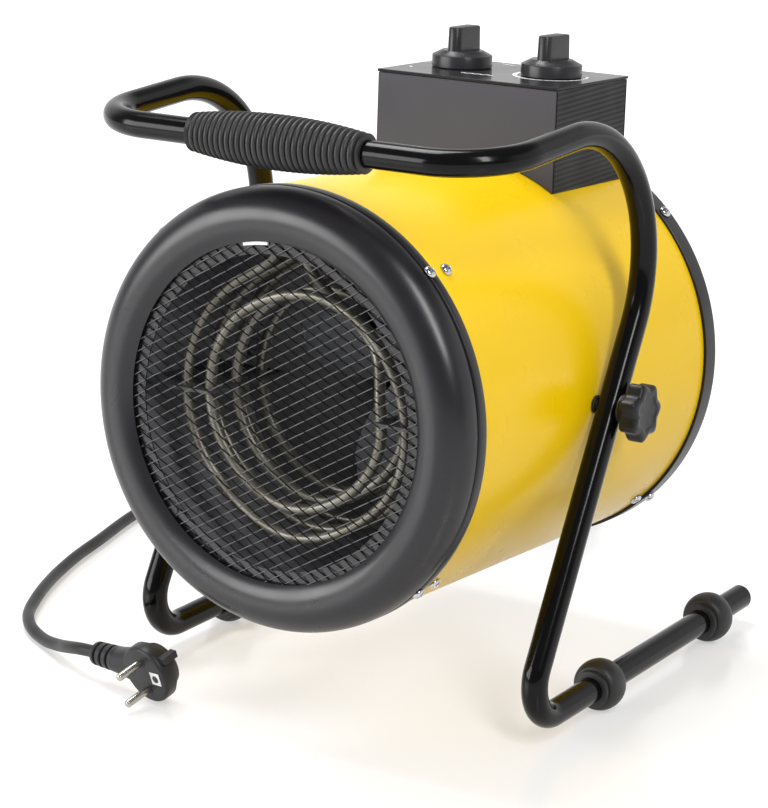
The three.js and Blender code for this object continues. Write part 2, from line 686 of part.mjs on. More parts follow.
function rearGuard() {
  const { plate, slotRings, slotSectors, slotWidth, slotStart, slotPitch, bridge } = guard;
  const disc = new THREE.Shape(polygon(drum.radius, drum.sides));
  const halfSector = Math.PI / slotSectors;
  for (let ring = 0; ring < slotRings; ring += 1) {
    const inner = slotStart + ring * slotPitch;
    for (let sector = 0; sector < slotSectors; sector += 1) {
      const middle = (2 * sector + (ring % 2)) * halfSector;
      const corner = (radius, share) => {
        const angle = middle + share * (halfSector - bridge / (2 * radius));
        return new THREE.Vector2(radius * Math.cos(angle), radius * Math.sin(angle));
      };
      const outer = [-1, 0, 1].map((share) => corner(inner + slotWidth, share));
      disc.holes.push(new THREE.Path([...outer, ...[1, 0, -1].map((share) => corner(inner, share))]));
    }
  }
  const sheet = new THREE.ExtrudeGeometry(disc, { depth: plate, bevelEnabled: false, curveSegments: 1 });
  sheet.rotateX(-Math.PI / 2).translate(0, drum.rear + gap, 0);
  piece(drumGroup, 'rear_guard', sheet, blackPaint);
}

// ---- control box ----
const knobSides = [['switch', -1], ['thermostat', 1]];

function controlBox() {
  const { halfWidth, front, rear, wall, panel } = control;
  const wallTop = controlTop - panel - gap;
  const outer = block(-halfWidth, halfWidth, front, rear, 0, wallTop);
  const hollow = block(-halfWidth + wall, halfWidth - wall, front + wall, rear - wall, -9, wallTop + 9);
  const saddle = turned([[0, front - 9], [bandInner, front - 9], [bandInner, rear + 9], [0, rear + 9]]);
  const glandHole = bar([gland.across, rear - 9, glandHeight], [gland.across, rear + 9, glandHeight], gland.thread + gap, 12);
  piece(drumGroup, 'control_box', cut(outer, hollow, saddle, glandHole), blackPlastic);
}

function controlPanel() {
  const { halfWidth, front, rear, panel, overhang, knobSpacing, knobPlace, stemRadius } = control;
  const plate = block(
    -halfWidth - overhang, halfWidth + overhang, front - overhang, rear + overhang,
    controlTop - panel, controlTop,
  );
  const holes = knobSides.map(([, sign]) => {
    const x = (sign * knobSpacing) / 2;
    return bar([x, knobPlace, controlTop - 9], [x, knobPlace, controlTop + 9], stemRadius + 2 * gap, 12);
  });
  piece(drumGroup, 'control_panel', cut(plate, ...holes), blackPaint);
}

function controlInsides() {
  const { knobSpacing, knobPlace, panel, switchSize, switchDepth, stemRadius } = control;
  const ceiling = controlTop - panel - gap;
  const half = switchSize / 2;
  for (const [kind, sign] of knobSides) {
    const x = (sign * knobSpacing) / 2;
    const body = block(x - half, x + half, knobPlace - half, knobPlace + half, ceiling - switchDepth, ceiling);
    const bore = bar([x, knobPlace, ceiling - 14], [x, knobPlace, ceiling + 9], stemRadius + 2 * gap, 12);
    piece(drumGroup, `${kind}_body`, cut(body, bore), ceramic);
  }
  const { width, depth, height, place } = terminalBlock;
  const terminals = block(-width / 2, width / 2, place - depth, place, bandInner, bandInner + height);
  piece(drumGroup, 'terminal_block', terminals, ceramic);
}

// A small disc held flat against the inside of the casing, between the coils and the fan.
function thermalCutout() {
  const { radius, thickness, place, angle } = cutout;
  const disc = turned([[0, -thickness], [radius, -thickness], [radius, 0], [0, 0]], 12);
  const reach = Math.sqrt(insideCasing ** 2 - radius ** 2);
  piece(drumGroup, 'thermal_cutout', radial(disc, angle, reach, place), ceramic);
}

// A bar grip on a round skirt, with the stem that plugs into the body below the panel.
function knobPieces() {
  const { radius, skirt, chamfer, shoulder, height, gripLength, gripWidth } = knob;
  const { knobSpacing, knobPlace, panel, stemRadius } = control;
  const stemEnd = -panel - 10;
  const skirtSolid = turned([
    [0, stemEnd], [stemRadius, stemEnd], [stemRadius, gap], [radius, gap], [radius, skirt],
    [shoulder, skirt + chamfer], [0, skirt + chamfer],
  ], 20).rotateX(Math.PI / 2);
  const half = gripWidth / 2;
  const end = gripLength / 2;
  const outline = new THREE.Shape([
    new THREE.Vector2(-half, -end + 2), new THREE.Vector2(-half + 2, -end), new THREE.Vector2(half - 2, -end),
    new THREE.Vector2(half, -end + 2), new THREE.Vector2(half, end), new THREE.Vector2(-half, end),
  ]);
  const handle = new THREE.ExtrudeGeometry(outline, { depth: height - skirt, bevelEnabled: false }).translate(0, 0, skirt);
  const shape = join(skirtSolid, handle);
  for (const [kind, sign] of knobSides) {
    const placed = shape.clone().translate((sign * knobSpacing) / 2, knobPlace, controlTop);
    piece(drumGroup, `${kind}_knob`, placed, blackPlastic);
  }
}

function cableGland() {
  const face = control.rear + gap;
  const { radius, length, thread, sleeveLength, sleeveRadius, across } = gland;
  const body = turned([
    [0, control.rear - control.wall - 6], [thread, control.rear - control.wall - 6], [thread, face],
    [radius, face], [radius, face + 7], [radius - 1, face + 7], [radius - 2, face + length - 3],
    [radius - 4, face + length], [0, face + length],
  ], 12).translate(across, 0, glandHeight);
  piece(drumGroup, 'cable_gland', body, blackPlastic);
  const start = face + length + gap;
  const sleeve = turned([
    [0, start], [sleeveRadius, start], [sleeveRadius, start + 3],
    [cord.radius + 1.2, start + sleeveLength], [0, start + sleeveLength],
  ], 12).translate(across, 0, glandHeight);
  piece(drumGroup, 'cord_sleeve', sleeve, rubber);
  const nutFace = control.rear - control.wall - gap;
  const bore = (thread + gap) / Math.cos(Math.PI / 6);
  const nut = turnedRing([
    [bore, nutFace - 4], [thread + 4, nutFace - 4], [thread + 4, nutFace], [bore, nutFace],
  ], 6).translate(across, 0, glandHeight);
  piece(drumGroup, 'gland_nut', nut, blackPlastic);
}

// ---- cord and plug ----
// Points chosen by hand, measured from below the pivot axis at floor level.
const hangingPoints = [
  [-42, 188.7, 327.2], [-42, 192.7, 326.97], [-42, 204, 326.2], [-42, 222, 321.5], [-42.2, 235.2, 308.3],
  [-42.5, 240, 290.3], [-44, 240, 240], [-46, 240, 180], [-47.5, 240, 135], [-48, 246.5, 87.5], [-48, 265.3, 55],
  [-48, 278, 39.7], [-48, 289.5, 33.3], [-48, 293, 31.4],
];
const coilCentre = new THREE.Vector3(-92, 318, 4.2);
const runPoints = [
  [-96, 362, 4.2], [-100, 362, 4.2], [-112, 362, 4.2], [-170, 364, 4.2], [-240, 346, 4.2], [-292, 300, 4.2],
  [-322, 240, 4.2], [-330, 180, 4.2], [-322.3, 122.5, 4.2], [-308, 66.6, 4.2], [-297.9, 26.3, 4.2], [-281.5, -20.4, 4.2],
  [-264.2, -56.8, 4.2], [-249.9, -80.2, 4.2], [-232.1, -97.8, 4.2], [-209.9, -111.1, 4.7], [-188.8, -121.3, 8.6],
  [-173.9, -129.6, 13.2], [-160, -135.1, 16.8], [-148.6, -137.4, 18.15], [-144.7, -138.2, 18.4],
];

// A smooth path through the points, with a short straight piece at each end so that it meets squarely.
function smoothPath(points, steps) {
  const places = points.map((point) => new THREE.Vector3(...point));
  const curve = new THREE.CatmullRomCurve3(places.slice(1, -1), false, 'centripetal');
  return [places[0], ...curve.getSpacedPoints(steps), places[places.length - 1]];
}

// Trims a path so that its end faces stand a little off the places where it meets its neighbours.
function standOff(points) {
  const first = points[1].clone().sub(points[0]).setLength(gap * 0.7);
  const last = points[points.length - 2].clone().sub(points[points.length - 1]).setLength(gap * 0.7);
  points[0].add(first);
  points[points.length - 1].add(last);
  return points;
}

function coilPath() {
  const { coilRadius, coilPitch, coilTurns, coilSteps } = cord;
  const top = coilCentre.z + coilPitch * coilTurns;
  const lead = 45;
  const leadAngle = 28.55;
  const points = [];
  const leadPoint = (angle) => new THREE.Vector3(
    coilCentre.x + coilRadius, coilCentre.y - lead * Math.sin(angle), top + lead * (1 - Math.cos(angle)),
  );
  const slope = radians(leadAngle);
  const lift = new THREE.Vector3(0, -Math.cos(slope), Math.sin(slope)).multiplyScalar(cord.stub);
  points.push(leadPoint(slope).add(lift));
  for (let i = 0; i < 4; i += 1) points.push(leadPoint(slope * (1 - i / 4)));
  const steps = Math.round(coilTurns * coilSteps);
  for (let i = 0; i <= steps; i += 1) {
    const turn = (2 * Math.PI * i) / coilSteps;
    points.push(new THREE.Vector3(
      coilCentre.x + coilRadius * Math.cos(turn),
      coilCentre.y + coilRadius * Math.sin(turn),
      top - (coilPitch * i) / coilSteps,
    ));
  }
  const last = points[points.length - 1];
  points.push(new THREE.Vector3(last.x - cord.stub, last.y, last.z));
  return points;
}

function leastGap(points, radius) {
  let least = Infinity;
  for (let i = 0; i < points.length; i += 1) {
    for (let k = i + cord.coilSteps / 2; k < points.length; k += 1) {
      least = Math.min(least, points[i].distanceTo(points[k]) - 2 * radius);
    }
  }
  return least;
}

function cordPieces() {
  const coil = coilPath();
  console.log('least gap between cord turns', leastGap(coil, cord.radius).toFixed(2), 'mm');
  piece(machine, 'cord_hanging', tube(standOff(smoothPath(hangingPoints, 26)), cord.radius, 6), rubber);
  piece(machine, 'cord_coil', tube(standOff(coil), cord.radius, 6), rubber);
  piece(machine, 'cord_front_run', tube(standOff(smoothPath(runPoints, 36)), cord.radius, 6), rubber);
}

// The plug lies on its rim: its own +Y points out along the pins and its own +X along the cord arm.
const plugPlace = new THREE.Group();
const pinWay = new THREE.Vector3(-0.1625, -0.947, -0.2775).normalize();
const armWay = new THREE.Vector3(-0.9806, 0.1863, -0.0616);
armWay.addScaledVector(pinWay, -armWay.dot(pinWay)).normalize();
plugPlace.position.set(-93.6, -155.2, 19.6);
plugPlace.quaternion.setFromRotationMatrix(
  new THREE.Matrix4().makeBasis(armWay, pinWay, new THREE.Vector3().crossVectors(armWay, pinWay)),
);
machine.add(plugPlace);

function plugPieces() {
  const { faceRadius, depth, backRadius, armLength, armRadius, armSetBack, reliefLength, reliefRadius } = plug;
  const head = turned([
    [0, 0], [faceRadius - 1, 0], [faceRadius, -1], [faceRadius, -9], [backRadius, -depth], [0, -depth],
  ], 16);
  const arm = new THREE.CylinderGeometry(reliefRadius, armRadius, armLength, 10)
    .rotateZ(-Math.PI / 2).translate(armLength / 2, -armSetBack, 0);
  const hollow = (sign) => bar([0, -12, sign * plug.pinSpacing / 2], [0, 5, sign * plug.pinSpacing / 2], plug.pinRadius + gap, 8);
  const earth = bar([-11, -8, 0], [-11, 5, 0], 2.6, 8);
  piece(plugPlace, 'plug_body', cut(join(head, arm), hollow(1), hollow(-1), earth), blackPlastic);
  for (const [name, sign] of [['upper', 1], ['lower', -1]]) {
    const z = (sign * plug.pinSpacing) / 2;
    piece(plugPlace, `${name}_plug_pin`, bar([0, -11.7, z], [0, plug.pinLength, z], plug.pinRadius, 8), steel);
  }
  const profile = [[0, 0]];
  const slots = 4;
  for (let i = 0; i < slots; i += 1) {
    const radius = THREE.MathUtils.lerp(reliefRadius - 0.4, cord.radius + 1.4, i / slots);
    const place = (reliefLength * i) / slots;
    const next = (reliefLength * (i + 1)) / slots;
    profile.push([radius, place], [radius, next - 1.5], [radius - 1.2, next - 1.5], [radius - 1.2, next]);
  }
  profile.push([0, reliefLength]);
  const relief = turned(profile, 8).rotateZ(-Math.PI / 2).translate(armLength + gap, -armSetBack, 0);
  piece(plugPlace, 'plug_strain_relief', relief, rubber);
}

tubeFrame();
handleGrip();
footRings();
skidCaps();
clampPieces();
outerCasing();
bandScrews();
frontBezel();
frontGrille();
innerShell();
heatingElements();
elementCombs();
terminalPlatePiece();
fanPieces();
motorPieces();
motorBracket();
rearRingPiece();
rearGuard();
controlBox();
controlPanel();
controlInsides();
thermalCutout();
knobPieces();
cableGland();
cordPieces();
plugPieces();

// The origin is the centre of the machine's footprint at floor level, without its cord.
machine.updateMatrixWorld(true);
const cordNames = ['cord_', 'plug_', 'upper_plug', 'lower_plug'];
const footprint = new THREE.Box3();
machine.traverse((node) => {
  if (node.isMesh && !cordNames.some((start) => node.name.startsWith(start))) footprint.expandByObject(node, true);
});
machine.position.y = -(footprint.min.y + footprint.max.y) / 2;
machine.updateMatrixWorld(true);

export default machine;
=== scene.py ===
import bmesh
import bpy
import numpy as np
from mathutils import Matrix, Vector


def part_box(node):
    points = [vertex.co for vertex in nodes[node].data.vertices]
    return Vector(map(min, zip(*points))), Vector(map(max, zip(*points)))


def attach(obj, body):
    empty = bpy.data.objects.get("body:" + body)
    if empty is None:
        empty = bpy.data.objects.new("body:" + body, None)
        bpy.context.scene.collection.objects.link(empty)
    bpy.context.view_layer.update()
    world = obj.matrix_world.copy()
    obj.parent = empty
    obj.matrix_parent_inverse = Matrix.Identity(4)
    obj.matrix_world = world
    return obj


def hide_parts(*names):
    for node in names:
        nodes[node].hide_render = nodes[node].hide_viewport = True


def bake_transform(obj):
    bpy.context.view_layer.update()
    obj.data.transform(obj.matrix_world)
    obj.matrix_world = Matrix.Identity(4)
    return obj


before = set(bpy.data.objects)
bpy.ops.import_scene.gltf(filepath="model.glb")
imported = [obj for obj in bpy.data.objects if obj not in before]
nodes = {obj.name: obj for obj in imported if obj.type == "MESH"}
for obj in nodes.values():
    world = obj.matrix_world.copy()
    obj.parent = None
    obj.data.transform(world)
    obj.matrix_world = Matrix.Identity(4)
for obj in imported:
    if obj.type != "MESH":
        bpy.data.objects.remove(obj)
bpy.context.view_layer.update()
mm = 0.001
print("frame loaded,", len(nodes), "nodes")

pivotLow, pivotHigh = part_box("right_clamp_washer")
pivot = np.array([0.0, (pivotLow.y + pivotHigh.y) / 2, (pivotLow.z + pivotHigh.z) / 2]) / mm
drumTilt = 3.3  # degrees nose up at rest


# places: from a shape's own axes to the frame's, in millimetres
def fromStand(points):
    # the stand's shapes have their Y from the pivot axis and their Z from the floor
    return np.asarray(points, float) + [0, pivot[1], 0]


def fromDrum(points):
    # the drum's shapes are drawn about its own axis: turned about X by the tilt, then set on the pivot
    points = np.asarray(points, float)
    lean = np.radians(drumTilt)
    y = points[..., 1] * np.cos(lean) + points[..., 2] * np.sin(lean)
    z = points[..., 2] * np.cos(lean) - points[..., 1] * np.sin(lean)
    return np.stack([points[..., 0], y, z], -1) + pivot


def around(axis, radius, along, angle):
    # a point at radius and angle about an axis, a length along it; about Y the angle goes from X to Z
    cos, sin = radius * np.cos(angle), radius * np.sin(angle)
    along = along + 0 * cos
    return np.stack({"x": [along, cos, sin], "y": [cos, along, sin], "z": [cos, sin, along]}[axis], -1)


def arc(centre, radius, start, end, count):
    # points on a circle in a plane, from start to end degrees
    angle = np.radians(np.linspace(start, end, count))
    return np.stack([centre[0] + radius * np.cos(angle), centre[1] + radius * np.sin(angle)], -1)


# surfaces on a grid: a part is its points, in millimetres, and its faces
def gridPart(points, wrapRows=False, wrapColumns=False):
    # a grid of points joined by four-sided faces; a wrapped direction runs on from its last line to its first
    points = np.asarray(points, float)
    rows, columns = points.shape[:2]
    index = np.arange(rows * columns).reshape(rows, columns)
    if wrapRows:
        index = np.vstack([index, index[:1]])
    if wrapColumns:
        index = np.hstack([index, index[:, :1]])
    quads = np.stack([index[:-1, :-1], index[:-1, 1:], index[1:, 1:], index[1:, :-1]], -1).reshape(-1, 4)
    return points.reshape(-1, 3), [tuple(quad) for quad in quads.tolist()]


def turnedPart(profile, sides=64, axis="y", ring=False, centre=(0, 0, 0)):
    # each [radius, along] of the profile is carried round the axis; a ring's profile closes on itself
    profile = np.asarray(profile, float)
    angle = np.linspace(0, 2 * np.pi, sides, endpoint=False)
    points = around(axis, profile[:, :1], profile[:, 1:], angle[None, :]) + np.asarray(centre, float)
    return gridPart(points, wrapRows=ring, wrapColumns=True)


def arcSlab(inner, outer, front, rear, start, end, count):
    # part of a tube's wall, from a start to an end angle in degrees
    angle = np.radians(np.linspace(start, end, count))
    profile = np.array([[inner, front], [outer, front], [outer, rear], [inner, rear]])
    points = around("y", profile[:, 0], profile[:, 1], angle[:, None])
    points, faces = gridPart(points, wrapColumns=True)
    return points, faces + [(0, 1, 2, 3), tuple(len(points) - 4 + i for i in range(4))]


def sweptPart(path, radius, sides=16):
    # a circle carried along a path: each section stands square to the path and turns as little as it can
    path = np.asarray(path, float)
    along = np.gradient(path, axis=0)
    along /= np.linalg.norm(along, axis=1, keepdims=True)
    side = np.zeros_like(path)
    firstWay = [0.31, 0.23, 0.92]  # no path starts along it
    side[0] = np.cross(along[0], firstWay)
    for i in range(len(path)):
        carried = side[max(i - 1, 0)]
        side[i] = carried - along[i] * np.dot(carried, along[i])
        side[i] /= np.linalg.norm(side[i])
    up = np.cross(along, side)
    angle = np.linspace(0, 2 * np.pi, sides, endpoint=False)
    reach = (np.zeros(len(path)) + radius)[:, None, None]
    cos, sin = np.cos(angle)[None, :, None], np.sin(angle)[None, :, None]
    rings = path[:, None] + reach * (side[:, None] * cos + up[:, None] * sin)
    return closeEnds(gridPart(rings, wrapColumns=True), sides)


def closeEnds(part, count):
    # a face over the first row of a grid and one over its last, each row count points long
    points, faces = part
    last = len(points) - count
    return points, faces + [tuple(range(count)), tuple(range(last, last + count))]


def slabPart(outline, low, high, axis="y"):
    # a flat outline given a thickness along an axis, from low to high
    outline = np.asarray(outline, float)
    count = len(outline)
    a, b = np.tile(outline[:, 0], 2), np.tile(outline[:, 1], 2)
    h = np.repeat([low, high], count)
    points = np.stack({"x": [h, a, b], "y": [a, h, b], "z": [a, b, h]}[axis], -1)
    ring = np.arange(count)
    nextRing = np.roll(ring, -1)
    faces = [tuple(range(count)), tuple(range(count, 2 * count))]
    faces += np.stack([ring, nextRing, nextRing + count, ring + count], -1).tolist()
    return points, [tuple(face) for face in faces]


def boxPart(low, high):
    (x0, y0, z0), (x1, y1, z1) = low, high
    return slabPart([[x0, y0], [x1, y0], [x1, y1], [x0, y1]], z0, z1, "z")


def movePart(part, change):
    return change(part[0]), part[1]


def turnPart(part, axis, degrees, move=(0, 0, 0)):
    # turned about an axis through the middle, then moved
    turn = np.array(Matrix.Rotation(np.radians(degrees), 3, axis))
    return part[0] @ turn.T + np.asarray(move, float), part[1]


def smoothLine(points, step):
    # centripetal spline through given points, then points on it every step millimetres
    between = 24  # points worked out from one chosen point to the next
    points = np.asarray(points, float)
    full = np.vstack([2 * points[0] - points[1], points, 2 * points[-1] - points[-2]])
    knot = np.concatenate([[0], np.cumsum(np.linalg.norm(np.diff(full, axis=0), axis=1) ** 0.5)])
    t0, t1, t2, t3 = (knot[i : len(knot) - 3 + i][:, None, None] for i in range(4))
    p0, p1, p2, p3 = (full[i : len(full) - 3 + i][:, None] for i in range(4))
    t = t1 + (t2 - t1) * np.linspace(0, 1, between, endpoint=False)[None, :, None]
    a1 = (t1 - t) / (t1 - t0) * p0 + (t - t0) / (t1 - t0) * p1
    a2 = (t2 - t) / (t2 - t1) * p1 + (t - t1) / (t2 - t1) * p2
    a3 = (t3 - t) / (t3 - t2) * p2 + (t - t2) / (t3 - t2) * p3
    b1 = (t2 - t) / (t2 - t0) * a1 + (t - t0) / (t2 - t0) * a2
    b2 = (t3 - t) / (t3 - t1) * a2 + (t - t1) / (t3 - t1) * a3
    line = ((t2 - t) / (t2 - t1) * b1 + (t - t1) / (t2 - t1) * b2).reshape(-1, 3)
    return evenLine(np.vstack([line, points[-1]]), step)


def evenLine(line, step):
    # the same line with its points a step apart
    reach = np.concatenate([[0], np.cumsum(np.linalg.norm(np.diff(line, axis=0), axis=1))])
    places = np.linspace(0, reach[-1], max(2, int(round(reach[-1] / step)) + 1))
    return np.stack([np.interp(places, reach, line[:, i]) for i in range(3)], -1)


def lineLength(line):
    return float(np.linalg.norm(np.diff(line, axis=0), axis=1).sum())


# pieces
making = {"seam": 1e-6, "sliver": 1e-7, "bevelAngle": 40, "bevelSteps": 2}  # metres, degrees


def makePiece(name, parts, material, body, hides=(), smooth=35.0, bevel=None, blendTo=None):
    # joins the parts into one mesh, shuts its seams, turns its faces outward and gives it to a body; given
    # blendTo, it only bakes the piece's place into its mesh and gives it to no body
    points, faces, start = [], [], 0
    for part in parts:
        points.append(part[0])
        faces += [tuple(corner + start for corner in face) for face in part[1]]
        start += len(part[0])
    mesh = bpy.data.meshes.new(name)
    mesh.from_pydata((np.vstack(points) * mm).tolist(), [], faces)
    work = bmesh.new()
    work.from_mesh(mesh)
    bmesh.ops.remove_doubles(work, verts=work.verts, dist=making["seam"])
    bmesh.ops.dissolve_degenerate(work, edges=work.edges, dist=making["sliver"])
    bmesh.ops.recalc_face_normals(work, faces=work.faces)
    work.to_mesh(mesh)
    work.free()
    mesh.shade_smooth()
    mesh.set_sharp_from_angle(angle=np.radians(smooth))
    mesh.materials.append(material)
    piece = bpy.data.objects.new(name, mesh)
    bpy.context.scene.collection.objects.link(piece)
    if bevel:
        edge = piece.modifiers.new("roundedEdges", "BEVEL")
        edge.width = bevel * mm
        edge.segments = making["bevelSteps"]
        edge.limit_method = "ANGLE"
        edge.angle_limit = np.radians(making["bevelAngle"])
        edge.harden_normals = False
    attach(piece, body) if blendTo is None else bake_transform(piece)
    if hides:
        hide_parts(*hides)
    return piece


def drumPiece(name, parts, material, hides=(), smooth=35.0, bevel=None, body="drum"):
    # a piece drawn about the drum's own axis
    return makePiece(name, [movePart(part, fromDrum) for part in parts], material, body, hides, smooth, bevel)


def standPiece(name, part, material, hides, smooth):
    return makePiece(name, [movePart(part, fromStand)], material, "stand", hides, smooth)


# finishes
def setNode(node, **values):
    # a node's inputs by their names, with an underscore for each space
    for socket, value in values.items():
        node.inputs[socket.replace("_", " ")].default_value = value
    return node


def startMaterial(name, color, roughness, metallic=0.0, **sockets):
    material = bpy.data.materials.new(name)
    material.use_nodes = True
    material.diffuse_color = (*color, 1)
    shader = material.node_tree.nodes["Principled BSDF"]
    setNode(shader, Base_Color=(*color, 1), Roughness=roughness, Metallic=metallic, **sockets)
    return material, material.node_tree.nodes, material.node_tree.links, shader


def noiseNode(tree, scale, detail=3.0, stretch=(1, 1, 1)):
    coordinates = tree.nodes.new("ShaderNodeTexCoord")
    mapping = setNode(tree.nodes.new("ShaderNodeMapping"), Scale=stretch)
    noise = setNode(tree.nodes.new("ShaderNodeTexNoise"), Scale=scale, Detail=detail)
    tree.links.new(coordinates.outputs["Object"], mapping.inputs["Vector"])
    tree.links.new(mapping.outputs["Vector"], noise.inputs["Vector"])
    return noise


def addGrain(material, scale, depth, strength=1.0, detail=3.0, stretch=(1, 1, 1)):
    # fine unevenness in the surface, depth in millimetres
    tree = material.node_tree
    noise = noiseNode(tree, scale, detail, stretch)
    bump = setNode(tree.nodes.new("ShaderNodeBump"), Strength=strength, Distance=depth * mm)
    tree.links.new(noise.outputs["Fac"], bump.inputs["Height"])
    tree.links.new(bump.outputs["Normal"], tree.nodes["Principled BSDF"].inputs["Normal"])


def addMottle(material, socket, low, high, scale, detail=4.0):
    # a value or colour that wanders between two ends over the surface
    tree = material.node_tree
    noise = noiseNode(tree, scale, detail)
    ramp = tree.nodes.new("ShaderNodeValToRGB")
    ends = [low, high] if isinstance(low, tuple) else [(low, low, low), (high, high, high)]
    for element, place, color in zip(ramp.color_ramp.elements, (0.32, 0.68), ends):
        element.position = place
        element.color = (*color, 1)
    tree.links.new(noise.outputs["Fac"], ramp.inputs["Fac"])
    tree.links.new(ramp.outputs["Color"], tree.nodes["Principled BSDF"].inputs[socket])


def makeFinish(name, grain, mottle, **values):
    # grain is scale, depth and strength; mottle is what wanders, its two ends and its scale
    material, *_ = startMaterial(name, **values)
    addGrain(material, *grain)
    addMottle(material, *mottle)
    return material


def powderCoat(name, shine):
    return makeFinish(
        name, color=(0.011, 0.010, 0.0125), roughness=0.3, Specular_IOR_Level=shine,
        grain=(900, 0.04, 0.5), mottle=("Roughness", 0.27, 0.33, 45),
    )


def mouldedPlastic(name, color, roughness):
    return makeFinish(
        name, color=color, roughness=roughness, Specular_IOR_Level=0.3,
        grain=(2600, 0.03, 0.6), mottle=("Roughness", roughness - 0.05, roughness + 0.06, 60),
    )


def wirePlate(name, color, shine):
    return makeFinish(
        name, color=color, roughness=0.4, metallic=0.2, Specular_IOR_Level=shine,
        grain=(2200, 0.02, 0.4), mottle=("Roughness", 0.3, 0.44, 200),
    )


def linedSheet():
    # satin black sheet with fine level grooves across it; its colour is painted darker in the grooves and
    # lighter on the ridges, as painted shade and painted highlight
    grooves = {"scale": 100, "waver": 0.6, "detail": 0.4, "depth": 0.25}  # this scale has one every 1.6 mm
    material, nodeList, links, shader = startMaterial(
        "linedSheet", (0.012, 0.012, 0.013), 0.5, Specular_IOR_Level=0.2
    )
    addMottle(material, "Roughness", 0.44, 0.54, 40)
    coordinates = nodeList.new("ShaderNodeTexCoord")
    wave = setNode(
        nodeList.new("ShaderNodeTexWave"), Scale=grooves["scale"], Distortion=grooves["waver"],
        Detail_Scale=grooves["detail"],
    )
    wave.bands_direction = "Z"
    bump = setNode(nodeList.new("ShaderNodeBump"), Strength=0.8, Distance=grooves["depth"] * mm)
    # painted shade and highlight: the colour follows the grooves' depth, dark at their bottoms and light on
    # the ridges
    ramp = nodeList.new("ShaderNodeValToRGB")
    for element, place, grey in zip(ramp.color_ramp.elements, (0.15, 0.85), (0.003, 0.024)):
        element.position = place
        element.color = (grey, grey, 1.08 * grey, 1)
    links.new(coordinates.outputs["Object"], wave.inputs["Vector"])
    links.new(wave.outputs["Fac"], ramp.inputs["Fac"])
    links.new(ramp.outputs["Color"], shader.inputs["Base Color"])
    links.new(wave.outputs["Fac"], bump.inputs["Height"])
    links.new(bump.outputs["Normal"], shader.inputs["Normal"])
    return material


blackCoat = powderCoat("blackPowderCoat", 0.5)
ringCoat = powderCoat("ringCoat", 0.22)
plastic = mouldedPlastic("mouldedPlastic", (0.02, 0.02, 0.022), 0.4)
knobPlastic = mouldedPlastic("knobPlastic", (0.027, 0.027, 0.029), 0.3)
starPlastic = mouldedPlastic("starPlastic", (0.011, 0.011, 0.012), 0.36)
# the mesh's two wire sets are one plating: a lit copy with painted highlight for the rising wires and a
# near-black copy with painted shade for the falling wires
paintedLitWire = wirePlate("wirePlate", (0.11, 0.11, 0.113), 0.35)
paintedShadeWire = wirePlate("paintedShadeWire", (0.003, 0.003, 0.003), 0.08)
boxSide = linedSheet()
yellow = makeFinish(
    "yellowPowderCoat", color=(0.97, 0.62, 0.001), roughness=0.34, Specular_IOR_Level=0.22,
    Coat_Weight=0.05, Coat_Roughness=0.1, grain=(420, 0.05, 0.35), mottle=("Roughness", 0.26, 0.34, 30),
)
enamel = makeFinish(
    "glossEnamel", color=(0.003, 0.003, 0.0035), roughness=0.17, Specular_IOR_Level=0.16,
    Coat_Weight=0.08, Coat_Roughness=0.04, grain=(260, 0.03, 0.3), mottle=("Roughness", 0.13, 0.19, 25),
)
rubber = makeFinish(
    "softRubber", color=(0.013, 0.013, 0.014), roughness=0.5, Specular_IOR_Level=0.55,
    grain=(1800, 0.04, 0.7), mottle=("Roughness", 0.42, 0.56, 80),
)
sheath = makeFinish(
    "cordSheath", color=(0.013, 0.013, 0.014), roughness=0.34, Specular_IOR_Level=0.35,
    grain=(700, 0.04, 0.4), mottle=("Roughness", 0.36, 0.46, 60),
)
panelFace = makeFinish(
    "panelGloss", color=(0.026, 0.026, 0.028), roughness=0.18, Specular_IOR_Level=0.1,
    grain=(180, 0.02, 0.2), mottle=("Roughness", 0.14, 0.2, 30),
)
boxFace = makeFinish(
    "boxSheet", color=(0.064, 0.066, 0.086), roughness=0.5, Specular_IOR_Level=0.2,
    grain=(1400, 0.03, 0.4), mottle=("Roughness", 0.44, 0.54, 40),
)
zinc = makeFinish(
    "zincPlate", color=(0.55, 0.55, 0.57), roughness=0.2, metallic=1.0,
    grain=(900, 0.03, 0.4), mottle=("Roughness", 0.14, 0.26, 120),
)
# dull sheet, darkened by heat, with the faint lines of its rolling
shellSheet = makeFinish(
    "shellSteel", color=(0.24, 0.24, 0.26), roughness=0.45, metallic=0.15,
    grain=(500, 0.05, 0.4, 2.0, (1, 0.04, 1)),
    mottle=("Base Color", (0.21, 0.21, 0.23), (0.27, 0.27, 0.29), 18),
)
fanSheet = makeFinish(
    "fanGrey", color=(0.84, 0.84, 0.87), roughness=0.4,
    grain=(600, 0.04, 0.4), mottle=("Base Color", (0.80, 0.80, 0.83), (0.88, 0.88, 0.91), 30),
)
bareInside = makeFinish(
    "insideGrey", color=(0.07, 0.07, 0.075), roughness=0.5,
    grain=(800, 0.04, 0.4), mottle=("Base Color", (0.055, 0.055, 0.06), (0.085, 0.085, 0.09), 25),
)
casting = makeFinish(
    "darkCasting", color=(0.03, 0.03, 0.033), roughness=0.45, metallic=0.3,
    grain=(700, 0.05, 0.5), mottle=("Roughness", 0.38, 0.52, 50),
)
